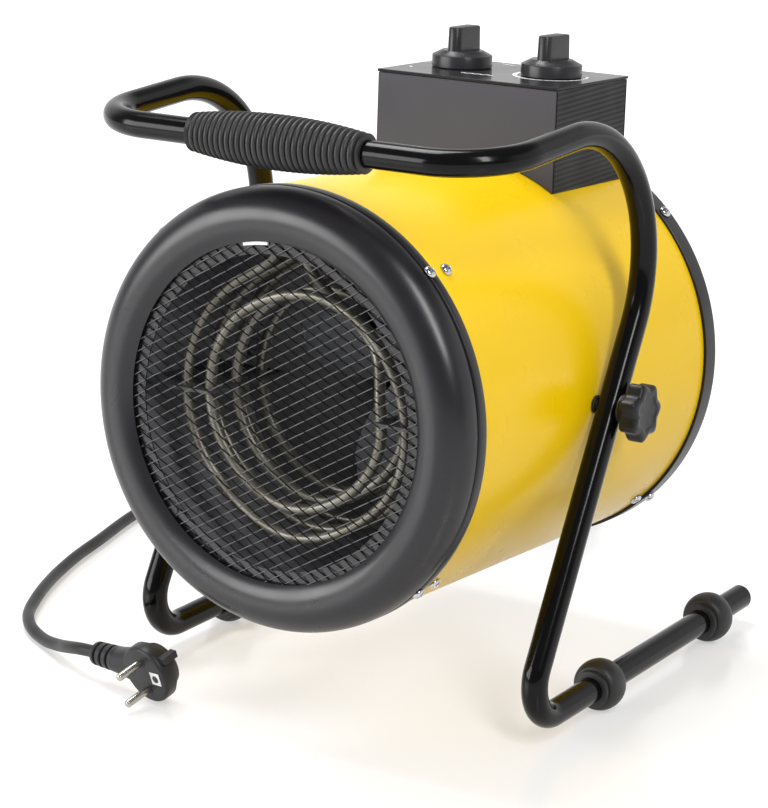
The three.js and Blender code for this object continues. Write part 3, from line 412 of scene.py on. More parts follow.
# heat-stained tube: grey with olive and brown patches
coilMetal = makeFinish(
    "elementSheath", color=(0.22, 0.21, 0.18), roughness=0.36, metallic=0.6,
    grain=(1500, 0.04, 0.5), mottle=("Base Color", (0.15, 0.14, 0.105), (0.26, 0.25, 0.22), 70),
)
insulator = makeFinish(
    "paleInsulator", color=(0.68, 0.64, 0.54), roughness=0.6,
    grain=(1200, 0.05, 0.5), mottle=("Base Color", (0.60, 0.55, 0.45), (0.74, 0.70, 0.60), 90),
)
pinMetal = makeFinish(
    "brightPin", color=(0.45, 0.43, 0.38), roughness=0.24, metallic=1.0,
    grain=(1100, 0.02, 0.3, 2.0, (1, 1, 0.1)), mottle=("Roughness", 0.2, 0.3, 150),
)
white = makeFinish(
    "printedWhite", color=(0.86, 0.86, 0.86), roughness=0.5,
    grain=(1500, 0.01, 0.3), mottle=("Roughness", 0.45, 0.55, 200),
)
print("finishes made")


# camera, floor and light
viewpoint = {
    "place": (0.9454, -1.4678, 0.6715),  # metres
    "yaw": 33.54, "pitch": -16.1, "roll": 0.03,  # degrees
    "lens": 129.55, "longSide": 36,  # millimetres
    "farEnd": 20,  # metres
}


def placeCamera():
    yaw, pitch = np.radians(viewpoint["yaw"]), np.radians(viewpoint["pitch"])
    ahead = np.array([-np.sin(yaw) * np.cos(pitch), np.cos(yaw) * np.cos(pitch), np.sin(pitch)])
    right = np.array([np.cos(yaw), np.sin(yaw), 0.0])
    turn = Matrix(np.stack([right, np.cross(right, ahead), -ahead], 1).tolist())
    turn = turn @ Matrix.Rotation(np.radians(viewpoint["roll"]), 3, "Z")
    data = bpy.data.cameras.new("camera")
    data.lens = viewpoint["lens"]
    data.sensor_width = viewpoint["longSide"]
    data.clip_end = viewpoint["farEnd"]
    camera = bpy.data.objects.new("camera", data)
    camera.matrix_world = Matrix.Translation(viewpoint["place"]) @ turn.to_4x4()
    bpy.context.scene.collection.objects.link(camera)
    bpy.context.scene.camera = camera


placeCamera()

room = {
    "floorColor": (0.55, 0.545, 0.54), "floorRoughness": 0.2,
    "floorReach": 6.0, "floorDrop": 0.0004,  # metres
    "floorLift": 0.45, "farLift": 0.8,  # the floor's own glow, near the heater and far from it
    "liftStart": 0.9, "liftEnd": 2.4,  # metres
    "worldLight": 0.44, "darkSide": 0.19,  # what gloss shows of the room in front of the heater
    "sideFade": (-0.2, 0.25), "topFade": (0.42, 0.7),  # shares of a direction's Y and Z
    "lamps": [  # name, place, width, height, watts
        ("keyLamp", (-1.5, -1.85, 0.8), 1.7, 1.1, 44),
        ("rightLamp", (1.45, -0.95, 1.6), 0.36, 1.3, 26),
        ("topLamp", (-0.9, 0.2, 2.4), 1.2, 1.0, 43),
    ],
    "lampTarget": (0, 0, 0.2),
}


def rayKind(tree, *kinds):
    # one where the ray is of one of these kinds
    path = tree.nodes.new("ShaderNodeLightPath")
    total = path.outputs[kinds[0]]
    for output in kinds[1:]:
        add = tree.nodes.new("ShaderNodeMath")
        add.operation = "MAXIMUM"
        tree.links.new(total, add.inputs[0])
        tree.links.new(path.outputs[output], add.inputs[1])
        total = add.outputs[0]
    return total


def fadeNode(tree, source, **ends):
    # a smooth change from To_Min to To_Max while the source goes from From_Min to From_Max
    fade = setNode(tree.nodes.new("ShaderNodeMapRange"), **ends)
    fade.interpolation_type = "SMOOTHSTEP"
    tree.links.new(source, fade.inputs["Value"])
    return fade


def makeFloor():
    reach = room["floorReach"]
    mesh = bpy.data.meshes.new("floor")
    corners = [[-reach, -reach, 0], [reach, -reach, 0], [reach, reach, 0], [-reach, reach, 0]]
    mesh.from_pydata(corners, [], [(0, 1, 2, 3)])
    floor = bpy.data.objects.new("floor", mesh)
    floor.location.z = -room["floorDrop"]
    bpy.context.scene.collection.objects.link(floor)
    material, nodeList, links, shader = startMaterial(
        "floorWhite", room["floorColor"], room["floorRoughness"]
    )
    # the floor stays white to the eye where the lamps don't reach
    place = nodeList.new("ShaderNodeTexCoord")
    length = nodeList.new("ShaderNodeVectorMath")
    length.operation = "LENGTH"
    links.new(place.outputs["Object"], length.inputs[0])
    fade = fadeNode(
        material.node_tree, length.outputs["Value"], From_Min=room["liftStart"], From_Max=room["liftEnd"],
        To_Min=room["floorLift"], To_Max=room["farLift"],
    )
    glow = nodeList.new("ShaderNodeEmission")
    links.new(fade.outputs[0], glow.inputs["Strength"])
    dark = setNode(nodeList.new("ShaderNodeEmission"), Strength=0)
    mask = nodeList.new("ShaderNodeMixShader")
    seen = rayKind(material.node_tree, "Is Camera Ray", "Is Glossy Ray", "Is Transmission Ray")
    links.new(seen, mask.inputs[0])
    links.new(dark.outputs[0], mask.inputs[1])
    links.new(glow.outputs[0], mask.inputs[2])
    both = nodeList.new("ShaderNodeAddShader")
    links.new(shader.outputs[0], both.inputs[0])
    links.new(mask.outputs[0], both.inputs[1])
    links.new(both.outputs[0], nodeList["Material Output"].inputs["Surface"])
    mesh.materials.append(material)


def makeWorld():
    # gloss shows the white backdrop behind the heater and a dim room in front of it
    world = bpy.data.worlds.new("studio")
    bpy.context.scene.world = world
    world.use_nodes = True
    tree = world.node_tree
    background = setNode(tree.nodes["Background"], Color=(1, 1, 1, 1))
    direction = tree.nodes.new("ShaderNodeTexCoord")
    shares = tree.nodes.new("ShaderNodeSeparateXYZ")
    tree.links.new(direction.outputs["Generated"], shares.inputs[0])
    low, high = room["sideFade"]
    sides = fadeNode(tree, shares.outputs["Y"], From_Min=low, From_Max=high, To_Min=room["darkSide"])
    # the backdrop ends some way up
    low, high = room["topFade"]
    height = fadeNode(tree, shares.outputs["Z"], From_Min=low, From_Max=high, To_Max=room["darkSide"])
    gloss = setNode(tree.nodes.new("ShaderNodeMapRange"), To_Min=room["worldLight"])
    strength = tree.nodes.new("ShaderNodeMath")
    strength.operation = "MAXIMUM"
    tree.links.new(sides.outputs[0], height.inputs["To Min"])
    tree.links.new(height.outputs[0], gloss.inputs["To Max"])
    tree.links.new(rayKind(tree, "Is Glossy Ray"), gloss.inputs["Value"])
    tree.links.new(gloss.outputs[0], strength.inputs[0])
    tree.links.new(rayKind(tree, "Is Camera Ray", "Is Transmission Ray"), strength.inputs[1])
    tree.links.new(strength.outputs[0], background.inputs["Strength"])


def makeLamps():
    for name, place, width, height, watts in room["lamps"]:
        data = bpy.data.lights.new(name, "AREA")
        data.shape = "RECTANGLE"
        data.size = width
        data.size_y = height
        data.energy = watts
        lamp = bpy.data.objects.new(name, data)
        turn = (Vector(place) - Vector(room["lampTarget"])).to_track_quat("Z", "Y")
        lamp.matrix_world = Matrix.Translation(place) @ turn.to_matrix().to_4x4()
        bpy.context.scene.collection.objects.link(lamp)


makeFloor()
makeWorld()
makeLamps()
bpy.context.scene.view_settings.view_transform = "Standard"
print("camera, floor and lamps placed")


# cord: it drops behind the drum, lies in a coil behind the heater and comes forward past the left skid
cord = {
    "diameter": 8.0, "sides": 20, "step": 3,
    "freeFrom": 8, "freeTo": -12,  # two places along the hanging cord, in steps; makePiece is given them but does not use them
    "coilRadius": 44, "coilPitch": 8.8, "coilTurns": 2.25, "coilCentre": (-92, 318, 4.2), "coilPoints": 64,
    "leadRadius": 45, "leadAngle": 28.55, "leadPoints": 12, "stub": 4,
    "hanging": [  # millimetres from below the pivot axis at floor level
        (-42, 188.7, 327.2), (-42, 192.7, 326.97), (-42, 204, 326.2), (-42, 222, 321.5),
        (-42.2, 235.2, 308.3), (-42.5, 240, 290.3), (-44, 240, 240), (-46, 240, 180), (-47.5, 240, 135),
        (-48, 246.5, 87.5), (-48, 265.3, 55), (-48, 278, 39.7), (-48, 289.5, 33.3), (-48, 293, 31.4),
    ],
    "run": [
        (-96, 362, 4.2), (-100, 362, 4.2), (-112, 362, 4.2), (-170, 364, 4.2), (-240, 346, 4.2),
        (-292, 300, 4.2), (-322, 240, 4.2), (-330, 180, 4.2), (-322.3, 122.5, 4.2), (-308, 66.6, 4.2),
        (-297.9, 26.3, 4.2), (-281.5, -20.4, 4.2), (-264.2, -56.8, 4.2), (-249.9, -80.2, 4.2),
        (-232.1, -97.8, 4.2), (-209.9, -111.1, 4.7), (-188.8, -121.3, 8.6), (-173.9, -129.6, 13.2),
        (-160, -135.1, 16.8), (-148.6, -137.4, 18.15), (-144.7, -138.2, 18.4),
    ],
}


def coilLine():
    # a straight lead-in and an arc down to the floor, then the turns: round the centre at one radius,
    # sinking steadily
    x, y, z = cord["coilCentre"]
    top = z + cord["coilPitch"] * cord["coilTurns"]
    slope = np.radians(np.linspace(cord["leadAngle"], 0, cord["leadPoints"], endpoint=False))
    lead = np.stack([
        x + cord["coilRadius"] + 0 * slope,
        y - cord["leadRadius"] * np.sin(slope),
        top + cord["leadRadius"] * (1 - np.cos(slope)),
    ], -1)
    start = lead[0] + cord["stub"] * np.array([0, -np.cos(slope[0]), np.sin(slope[0])])
    turn = np.linspace(0, 2 * np.pi * cord["coilTurns"], int(cord["coilPoints"] * cord["coilTurns"]))
    turns = np.stack([
        x + cord["coilRadius"] * np.cos(turn),
        y + cord["coilRadius"] * np.sin(turn),
        top - cord["coilPitch"] * turn / (2 * np.pi),
    ], -1)
    return np.vstack([start, lead, turns])


def makeCords():
    radius, sides, step = cord["diameter"] / 2, cord["sides"], cord["step"]
    hanging = fromStand(smoothLine(cord["hanging"], step))
    floorLine = fromStand(np.vstack([coilLine(), smoothLine(cord["run"], step)]))
    floorLine = evenLine(floorLine, step)
    hangingCord = makePiece(
        "hangingCord", [sweptPart(hanging, radius, sides)], sheath, "drum", ["cord_hanging"],
        blendTo=("stand", hanging[cord["freeFrom"]] * mm, hanging[cord["freeTo"]] * mm),
    )
    floorCord = makePiece(
        "floorCord", [sweptPart(floorLine, radius, sides)], sheath, "stand", ["cord_coil", "cord_front_run"]
    )
    print("cord lengths", round(lineLength(hanging)), round(lineLength(floorLine)), "mm")
    return hanging, floorLine, hangingCord, floorCord


hangingLine, floorLine, hangingCord, floorCord = makeCords()


# plug: a round face on its rim, with an arm towards the cord
plug = {
    "place": (-93.6, -155.2, 19.6),
    "pinWay": (-0.1625, -0.947, -0.2775), "armWay": (-0.9806, 0.1863, -0.0616),
    "faceRadius": 19.2, "faceEdge": 2.2, "sideEnd": 8.5, "depth": 17, "backRadius": 14.8, "backEdge": 3,
    "armLength": 31, "armFlare": 17.4, "armDeep": 7.2, "armEnd": 8.4, "armSetBack": 7.5, "armSides": 48,
    "pinRadius": 2.4, "pinLength": 19, "pinSpacing": 19, "pinRoot": 11, "pinTip": 1.4,
    "reliefLength": 22, "reliefSlots": 3, "reliefTaper": 0.8, "reliefEnd": 2.6, "slotDepth": 3,
    "earthPlate": [[-14.6, -4.3], [-6.4, -4.3], [-6.4, 4.3], [-14.6, 4.3]], "earthHoleShade": (-10.6, 0, 0),
    "clipLow": (-19.6, -14.5, 9.6), "clipHigh": (-14.2, -3.5, 14.2),
}


def fromPlug(points):
    # the plug's own axes: x along the arm, y out along the pins
    y = np.array(plug["pinWay"]) / np.linalg.norm(plug["pinWay"])
    x = np.array(plug["armWay"])
    x = x - y * np.dot(x, y)
    x /= np.linalg.norm(x)
    return fromStand(np.asarray(points, float) @ np.stack([x, y, np.cross(x, y)]) + np.array(plug["place"]))


def plugPiece(name, part, material, hides=(), smooth=35.0, bevel=None):
    return makePiece(name, [movePart(part, fromPlug)], material, "stand", hides, smooth, bevel)


def armPart():
    # the arm's section is an oval as tall as the face at its root and round at its end
    share = np.linspace(0, 1, 24)[:, None]
    turn = np.linspace(0, 2 * np.pi, plug["armSides"], endpoint=False)[None, :]
    deep = plug["armDeep"] + (plug["armEnd"] - plug["armDeep"]) * share
    tall = plug["armEnd"] + (plug["armFlare"] - plug["armEnd"]) * (1 - share) ** 1.3
    square = (np.abs(np.cos(turn)) ** 3 + np.abs(np.sin(turn)) ** 3) ** (-1 / 3)
    rounding = 1 + (square - 1) * (1 - share)
    oval = [deep * rounding * np.cos(turn) - plug["armSetBack"], tall * rounding * np.sin(turn)]
    points = np.stack([plug["armLength"] * share + 0 * turn, *oval], -1)
    return closeEnds(gridPart(points, wrapColumns=True), plug["armSides"])


def makePlug():
    face, depth, back = plug["faceRadius"], plug["depth"], plug["backRadius"]
    rim = arc((face - plug["faceEdge"], -plug["faceEdge"]), plug["faceEdge"], 90, 0, 6)
    heel = arc((back - plug["backEdge"], plug["backEdge"] - depth), plug["backEdge"], 0, -90, 6)
    body = turnedPart(np.vstack([[[0, 0]], rim, [[face, -plug["sideEnd"]]], heel, [[0, -depth]]]), sides=64)
    parts = [movePart(part, fromPlug) for part in (body, armPart())]
    piece = makePiece("plugBody", parts, plastic, "stand", ["plug_body"], smooth=50)
    r, length, tip = plug["pinRadius"], plug["pinLength"], plug["pinTip"]
    for name, side in (("upper", 1), ("lower", -1)):
        centre = (0, 0, side * plug["pinSpacing"] / 2)
        end = arc((r - tip, length - tip), tip, 0, 90, 8)
        profile = np.vstack([[[0, -plug["pinRoot"]], [r, -plug["pinRoot"]]], end, [[0, length]]])
        pin = turnedPart(profile, sides=32, centre=centre)
        plugPiece(f"{name}PlugPin", pin, pinMetal, [f"{name}_plug_pin"], smooth=50)
        profile = [[r + 0.05, 0.05], [r + 1.3, 0.05], [r + 0.9, 0.5], [r + 0.05, 0.5]]
        collar = turnedPart(profile, sides=32, ring=True, centre=centre)
        plugPiece(f"{name}PinCollar", collar, plastic, smooth=30)
    # earth contact: a pale plate with a dark disc standing on it, painted shade for a hole, and a side clip
    # over the rim
    plugPiece("earthPlate", slabPart(plug["earthPlate"], 0.02, 0.5), white, bevel=0.2)
    # the dark disc is painted shade in place of the hole's recess
    holeShade = turnedPart([[0, 0.3], [2.5, 0.3], [2.5, 0.62], [0, 0.62]], sides=24, centre=plug["earthHoleShade"])
    plugPiece("earthHoleShade", holeShade, rubber, smooth=30)
    plugPiece("earthClip", boxPart(plug["clipLow"], plug["clipHigh"]), plastic, bevel=0.4)
    return piece


def makeStrainRelief():
    # a tapered sleeve, rounded over its last 2 mm, with slots drawn as ribs and grooves
    length = plug["reliefLength"]
    along = np.linspace(0, length, 140)
    rounded = plug["reliefEnd"] * np.clip((along - length + 2) / 2, 0, 1) ** 2
    taper = plug["armEnd"] - 0.1 - plug["reliefTaper"] * along / length - rounded
    beat = (along / length * (plug["reliefSlots"] + 0.6)) % 1
    groove = 1 / (1 + np.exp(-60 * (beat - 0.6))) * 1 / (1 + np.exp(60 * (beat - 0.9)))
    radius = taper - plug["slotDepth"] * groove * (along < length * 0.9)
    line = np.stack([plug["armLength"] + 0.3 + along, -plug["armSetBack"] + 0 * along, 0 * along], -1)
    part = sweptPart(line, radius, sides=40)
    return plugPiece("plugStrainRelief", part, plastic, ["plug_strain_relief"], smooth=50)


plugBody = makePlug()
strainRelief = makeStrainRelief()
print("cord and plug made")


# stand: one bent tube
stand = {
    "tubeRadius": 7.95, "legOffset": 140.4, "skidHeight": 16, "skidRear": 181.7,
    "legLean": 60.1, "topRise": 175.9, "crossbar": (-138.73, 357.31),
    "footBend": 23, "topBend": 83.6, "crossbarBend": 43.6,
    "capPlug": 8, "capHead": 2.2, "capEdge": 1.3,
}


def roundedPath(corners, radii, stepDegrees=3.0):
    # straight runs between the corners, each corner an arc that touches both runs
    corners = np.asarray(corners, float)
    path = [corners[0]]
    for i, radius in enumerate(radii, 1):
        back, ahead = corners[i - 1] - corners[i], corners[i + 1] - corners[i]
        back, ahead = back / np.linalg.norm(back), ahead / np.linalg.norm(ahead)
        half = np.arccos(np.dot(back, ahead)) / 2
        middle = (back + ahead) / np.linalg.norm(back + ahead)
        centre = corners[i] + middle * radius / np.sin(half)
        start = corners[i] + back * radius / np.tan(half) - centre
        end = corners[i] + ahead * radius / np.tan(half) - centre
        turn = np.pi - 2 * half
        share = np.linspace(0, 1, max(4, int(np.degrees(turn) / stepDegrees)))[:, None]
        path.extend(centre + (start * np.sin((1 - share) * turn) + end * np.sin(share * turn)) / np.sin(turn))
    path.append(corners[-1])
    return np.array(path)


def makeStand():
    pivotHeight, slope = pivot[2], np.tan(np.radians(stand["legLean"]))
    frontCorner = (stand["skidHeight"] - pivotHeight) / slope
    rearCorner = (stand["topRise"] / slope, pivotHeight + stand["topRise"])

    def sideCorners(x):
        return [
            (x, stand["skidRear"], stand["skidHeight"]), (x, frontCorner, stand["skidHeight"]),
            (x, *rearCorner), (x, *stand["crossbar"]),
        ]

    corners = sideCorners(stand["legOffset"]) + sideCorners(-stand["legOffset"])[::-1]
    radii = [stand["footBend"], stand["topBend"], stand["crossbarBend"]]
    path = roundedPath(corners, radii + radii[::-1])
    tube = sweptPart(path, stand["tubeRadius"], sides=40)
    standPiece("standTube", tube, enamel, ["tube_frame"], smooth=50)
    r, edge, head = stand["tubeRadius"], stand["capEdge"], stand["capHead"]
    profile = np.vstack([
        [[0, -stand["capPlug"]], [r - 2, -stand["capPlug"]], [r - 2, 0.2], [r, 0.3]],
        arc((r - edge, head - edge), edge, 0, 90, 6), [[0, head]],
    ])
    for side, x in (("right", stand["legOffset"]), ("left", -stand["legOffset"])):
        cap = turnedPart(profile, sides=40, centre=(x, stand["skidRear"], stand["skidHeight"]))
        standPiece(f"{side}SkidCap", cap, plastic, [f"{side}_skid_cap"], smooth=50)


makeStand()


# handle grip: a rubber barrel with round ribs
grip = {
    "halfLength": 60, "middleRadius": 16.1, "endRadius": 11.9, "ribs": 29, "ribDepth": 2.875, "ribPoints": 12,
    "bore": 8.1, "lip": 3,
}


def makeGrip():
    # barrel radius swells to the middle; each rib is the upper part of a circle, so the grooves are sharp
    half, ribs, bore, end = grip["halfLength"], grip["ribs"], grip["bore"], grip["endRadius"]
    share = np.linspace(-1, 1, ribs * grip["ribPoints"] + 1)
    barrel = end + (grip["middleRadius"] - end) * (1 - share**2)
    beat = (share + 1) / 2 * ribs % 1 * 2 - 1
    rib = np.sqrt(np.clip(1 - (0.97 * beat) ** 2, 0, 1))
    radius = barrel - grip["ribDepth"] * (1 - rib)
    profile = np.vstack([
        [[bore, -half], [end - 1.2, -half], [end - 0.3, -half + 0.8]],
        np.stack([radius, (half - grip["lip"]) * share], -1),
        [[end - 0.3, half - 0.8], [end - 1.2, half], [bore, half]],
    ])
    part = turnedPart(profile, sides=72, axis="x", ring=True, centre=(0, *stand["crossbar"]))
    standPiece("ribbedGrip", part, rubber, ["handle_grip"], smooth=70)


makeGrip()


# foot rings: rubber barrels with a smaller step at each end
footRing = {"radius": 16, "halfLength": 12, "bore": 8.1, "barrelHalf": 8.6, "stepRadius": 11.6}


def makeFootRings():
    # the barrel's radius is the height of a flat ellipse over the step
    half, radius, step = footRing["barrelHalf"], footRing["radius"], footRing["stepRadius"]
    swell = np.linspace(-1, 1, 25)
    barrel = np.stack([step + 0.4 + (radius - step - 0.4) * np.sqrt(1 - swell**2 * 0.985), half * swell], -1)
    bore, end = footRing["bore"], -footRing["halfLength"]
    low = [[bore, end], [step - 0.9, end], [step - 0.2, end + 0.3], [step, end + 1], [step, -half]]
    high = [[across, -along] for across, along in low[::-1]]
    profile = np.vstack([low, barrel, high])
    for place in ("front_right", "front_left", "rear_right", "rear_left"):
        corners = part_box(f"{place}_foot_ring")
        centre = (np.array(corners[0]) + np.array(corners[1])) / 2 / mm
        part = turnedPart(profile, sides=64, ring=True, centre=centre)
        end, side = place.split("_")
        makePiece(f"{end}{side.title()}FootRing", [part], rubber, "stand", [f"{place}_foot_ring"], smooth=40)


makeFootRings()
print("stand, grip and foot rings made")


# pivot clamps: star knob, stud, washer and spacer on each side
clamp = {
    "knobRadius": 18, "lobes": 7, "lobeDepth": 3.1, "depth": 11.5, "hubLength": 4, "outlinePoints": 168,
    "tubeHalf": 8, "gap": 0.3, "washer": 1.5, "washerRadius": 9, "bore": 4.0,
    "spacerRadius": 5.6, "spacerStart": 130.3, "spacerEnd": 132.1, "studRadius": 3.7, "studStart": 120.2,
}


def starPart(hubStart):
    # rows run from the hub over the rim to the face; each is the lobed outline scaled, the hub's are round
    head = hubStart + clamp["hubLength"]
    face = head + clamp["depth"]
    rows = np.array([  # along, share of the knob's radius, how far the outline is lobed
        (hubStart, 0.22, 0), (hubStart, 0.5, 0), (hubStart + 0.3, 0.53, 0), (head - 1.2, 0.54, 0),
        (head - 0.3, 0.60, 0.2), (head, 0.72, 0.6), (head + 0.1, 0.88, 0.9), (head + 0.5, 0.955, 1),
        (head + 1.4, 0.995, 1), (head + 2.2, 1, 1), (face - 2.6, 1, 1), (face - 1.6, 0.985, 1),
        (face - 0.9, 0.95, 1), (face - 0.3, 0.88, 1), (face, 0.80, 1), (face, 0.66, 0.8),
        (face - 0.5, 0.58, 0.4), (face - 0.7, 0.5, 0), (face - 0.7, 0, 0),
    ])
    angle = np.linspace(0, 2 * np.pi, clamp["outlinePoints"], endpoint=False)[None, :]
    wave = (0.5 - 0.5 * np.cos(clamp["lobes"] * angle)) ** 0.9 * clamp["lobeDepth"]
    radius = rows[:, 1:2] * (clamp["knobRadius"] - rows[:, 2:3] * wave)
    return gridPart(around("x", radius, rows[:, :1], angle), wrapColumns=True)


def collarPart(start, end, radius, edge=0.25):
    # a ring on the pivot axis, as long as from start to end, with its outer edges broken
    profile = [
        [clamp["bore"], start], [radius - edge, start], [radius, start + edge],
        [radius, end - edge], [radius - edge, end], [clamp["bore"], end],
    ]
    return turnedPart(profile, sides=48, axis="x", ring=True)


def makeClamps():
    seat = stand["legOffset"] + clamp["tubeHalf"] + clamp["gap"]
    washerEnd = seat + clamp["washer"]
    hubStart = washerEnd + clamp["gap"]
    r, start, end = clamp["studRadius"], clamp["studStart"], hubStart + 0.5
    profile = [[0, start], [r - 0.4, start], [r, start + 0.5], [r, end], [0, end]]
    stud = turnedPart(profile, sides=32, axis="x")
    washer = collarPart(seat, washerEnd, clamp["washerRadius"])
    spacer = collarPart(clamp["spacerStart"], clamp["spacerEnd"], clamp["spacerRadius"])
    for side, degrees in (("right", 0), ("left", 180)):
        for name, part, material, body, hidden, smooth in (
            ("StarKnob", starPart(hubStart), starPlastic, f"{side}_clamp_knob", "star_knob", 38),
            ("ClampWasher", washer, casting, f"{side}_clamp", "clamp_washer", 35),
            ("PivotSpacer", spacer, plastic, "stand", "pivot_spacer", 35),
            ("ClampStud", stud, casting, f"{side}_clamp_knob", "clamp_stud", 35),
        ):
            placed = turnPart(part, "Z", degrees, pivot)
            makePiece(side + name, [placed], material, body, [f"{side}_{hidden}"], smooth)


makeClamps()
print("pivot clamps made")


# drum: yellow casing between two black rings
drum = {
    "radius": 130, "wall": 1.2, "front": -134, "rear": 149, "bandInner": 130.3, "bandWall": 1.7, "sides": 192,
    "bezelOverlap": 7.3, "bezelBand": 10.3, "rollDepth": 17.8, "rollWidth": 31, "lipAngle": 130.7,
    "grooveDepth": 1.4, "grooveWidth": 3.4,
    "ringOverlap": 9.8, "ringLength": 13.6, "ringLip": 12, "ringEdge": 1.2,
}
bandRadius = drum["bandInner"] + drum["bandWall"]
bezelRear = drum["front"] + drum["bezelOverlap"]
rollStart = bezelRear - drum["bezelBand"]
openingRadius = bandRadius - drum["rollWidth"]


def makeCasing():
    radius, along = drum["radius"], np.linspace(drum["front"], drum["rear"], 9)
    outside = np.stack([radius + 0 * along, along], -1)
    inside = np.stack([radius - drum["wall"] + 0 * along, along[::-1]], -1)
    part = turnedPart(np.vstack([outside, inside]), drum["sides"], ring=True)
    casing = drumPiece("drumCasing", [part], yellow, ["outer_casing"], smooth=40)
    # the coat is on the outside alone
    casing.data.materials.append(bareInside)
    for polygon in casing.data.polygons:
        away = polygon.center - Vector(pivot * mm)
        away.y = 0
        polygon.material_index = int(polygon.normal.dot(away) < 0)


def rollOutline(inset, count):
    # the roll is part of an ellipse-like arc from the band in to the lip, drawn in by the sheet's thickness
    angle = np.radians(np.linspace(0, drum["lipAngle"], count))
    halfWidth = drum["rollWidth"] / (1 - np.cos(np.radians(drum["lipAngle"])))
    return np.stack([
        bandRadius - halfWidth + (halfWidth - inset) * np.cos(angle),
        rollStart - (drum["rollDepth"] - inset) * np.sin(angle),
    ], -1)


def makeBezel():
    floor, width = bandRadius - drum["grooveDepth"], drum["grooveWidth"]
    band = [
        [drum["bandInner"], bezelRear], [bandRadius - 0.5, bezelRear], [bandRadius - 0.12, bezelRear - 0.15],
        [bandRadius, bezelRear - 0.6],
        [bandRadius, rollStart + width + 0.3], [bandRadius - 0.2, rollStart + width],
        [floor, rollStart + width - 0.4], [floor, rollStart + 0.6], [bandRadius - 0.2, rollStart + 0.2],
    ]
    profile = np.vstack([band, rollOutline(0, 40), rollOutline(drum["bandWall"], 30)[::-1]])
    part = turnedPart(profile, drum["sides"], ring=True)
    drumPiece("frontBezel", [part], blackCoat, ["front_bezel"], smooth=38)


def makeRearRing():
    start = drum["rear"] - drum["ringOverlap"]
    end = start + drum["ringLength"]
    wall, edge, lip = drum["bandWall"], drum["ringEdge"], bandRadius - drum["ringLip"]
    corner = arc((bandRadius - edge, end - edge), edge, 0, 90, 8)
    profile = np.vstack([
        [[drum["bandInner"], start], [bandRadius - 0.4, start], [bandRadius, start + 0.4]], corner,
        [[lip + 0.5, end], [lip, end - 0.5], [lip, end - wall], [drum["bandInner"], end - wall]],
    ])
    drumPiece("rearRing", [turnedPart(profile, drum["sides"], ring=True)], ringCoat, ["rear_ring"], smooth=38)


makeCasing()
makeBezel()
makeRearRing()


# rear guard: a plate with rings of curved slots
guard = {
    "front": 149.3, "plate": 1.5, "rings": 4, "sectors": 6, "slotWidth": 13, "slotStart": 30, "slotPitch": 22,
    "bridge": 6, "sink": 0.8, "edge": 0.25, "rim": 129.8,
}


def makeGuard():
    front, edge, sink, half = guard["front"], guard["edge"], guard["sink"], guard["bridge"] / 2
    back = front + guard["plate"]
    inner = [guard["slotStart"] + i * guard["slotPitch"] for i in range(guard["rings"])]
    outer = [start + guard["slotWidth"] for start in inner]
    parts = []
    for low, high in zip([0.001] + outer, inner + [guard["rim"]]):
        profile = [
            [low, front + edge], [low + edge, front], [high - edge, front], [high, front + edge],
            [high, back - edge], [high - edge, back], [low + edge, back], [low, back - edge],
        ]
        parts.append(turnedPart(profile, sides=144, ring=True))
    for ring, (low, high) in enumerate(zip(inner, outer)):
        bridge = boxPart([low - sink, front + 0.05, -half], [high + sink, back - 0.05, half])
        for sector in range(guard["sectors"]):
            degrees = (2 * sector + 1 + ring % 2) * 180 / guard["sectors"]
            parts.append(turnPart(bridge, "Y", -degrees))
    drumPiece("rearGuard", parts, blackCoat, ["rear_guard"], smooth=40)


makeGuard()
print("drum and rings made")


# wire mesh over the outlet: two sets of straight wires woven at a slope either side of level
mesh = {
    "spacing": 5.78, "wire": 0.34, "paintedShadeWire": 0.4, "slope": 30.0, "plane": -149.0, "weave": 0.34,
    "reach": 101.6, "wireSides": 7, "wireRows": 96,
    "rim": 128.6, "rimDepth": 9.5, "ringInner": 93.5, "ringOuter": 124,
    "dotPlace": (-70.2, -69.9), "dotRadius": 2.6, "paintedLightAngles": (93.3, 103.2),
}


def wireSet(sign):
    # each wire's height over the plane is a cosine along it that changes sign from wire to wire of its own
    # set; one set's cosine is the other's upside down
    s, slope, sides = mesh["spacing"], np.radians(mesh["slope"]), mesh["wireSides"]
    count = int(mesh["reach"] / s)
    wires = np.arange(-count, count + 1)[:, None]
    offset = wires * s
    half = np.sqrt(mesh["reach"] ** 2 - offset**2)
    t = half * np.linspace(-1, 1, mesh["wireRows"])[None, :]
    other = wires * np.cos(2 * slope) + sign * t * np.sin(2 * slope) / s
    height = sign * mesh["weave"] * np.where(wires % 2, -1, 1) * np.cos(np.pi * other)
    along = np.array([np.cos(slope), 0, sign * np.sin(slope)])
    across = np.array([-sign * np.sin(slope), 0, np.cos(slope)])
    ahead = np.array([0, 1, 0])
    middle = t[..., None] * along + offset[..., None] * across + height[..., None] * ahead
    middle[..., 1] += mesh["plane"]
    thick = mesh["wire"] if sign > 0 else mesh["paintedShadeWire"]
    turn = np.linspace(0, 2 * np.pi, sides, endpoint=False)
    ring = thick * (np.cos(turn)[:, None] * across + np.sin(turn)[:, None] * ahead)
    return [closeEnds(gridPart(wire, wrapColumns=True), sides) for wire in middle[:, :, None] + ring]


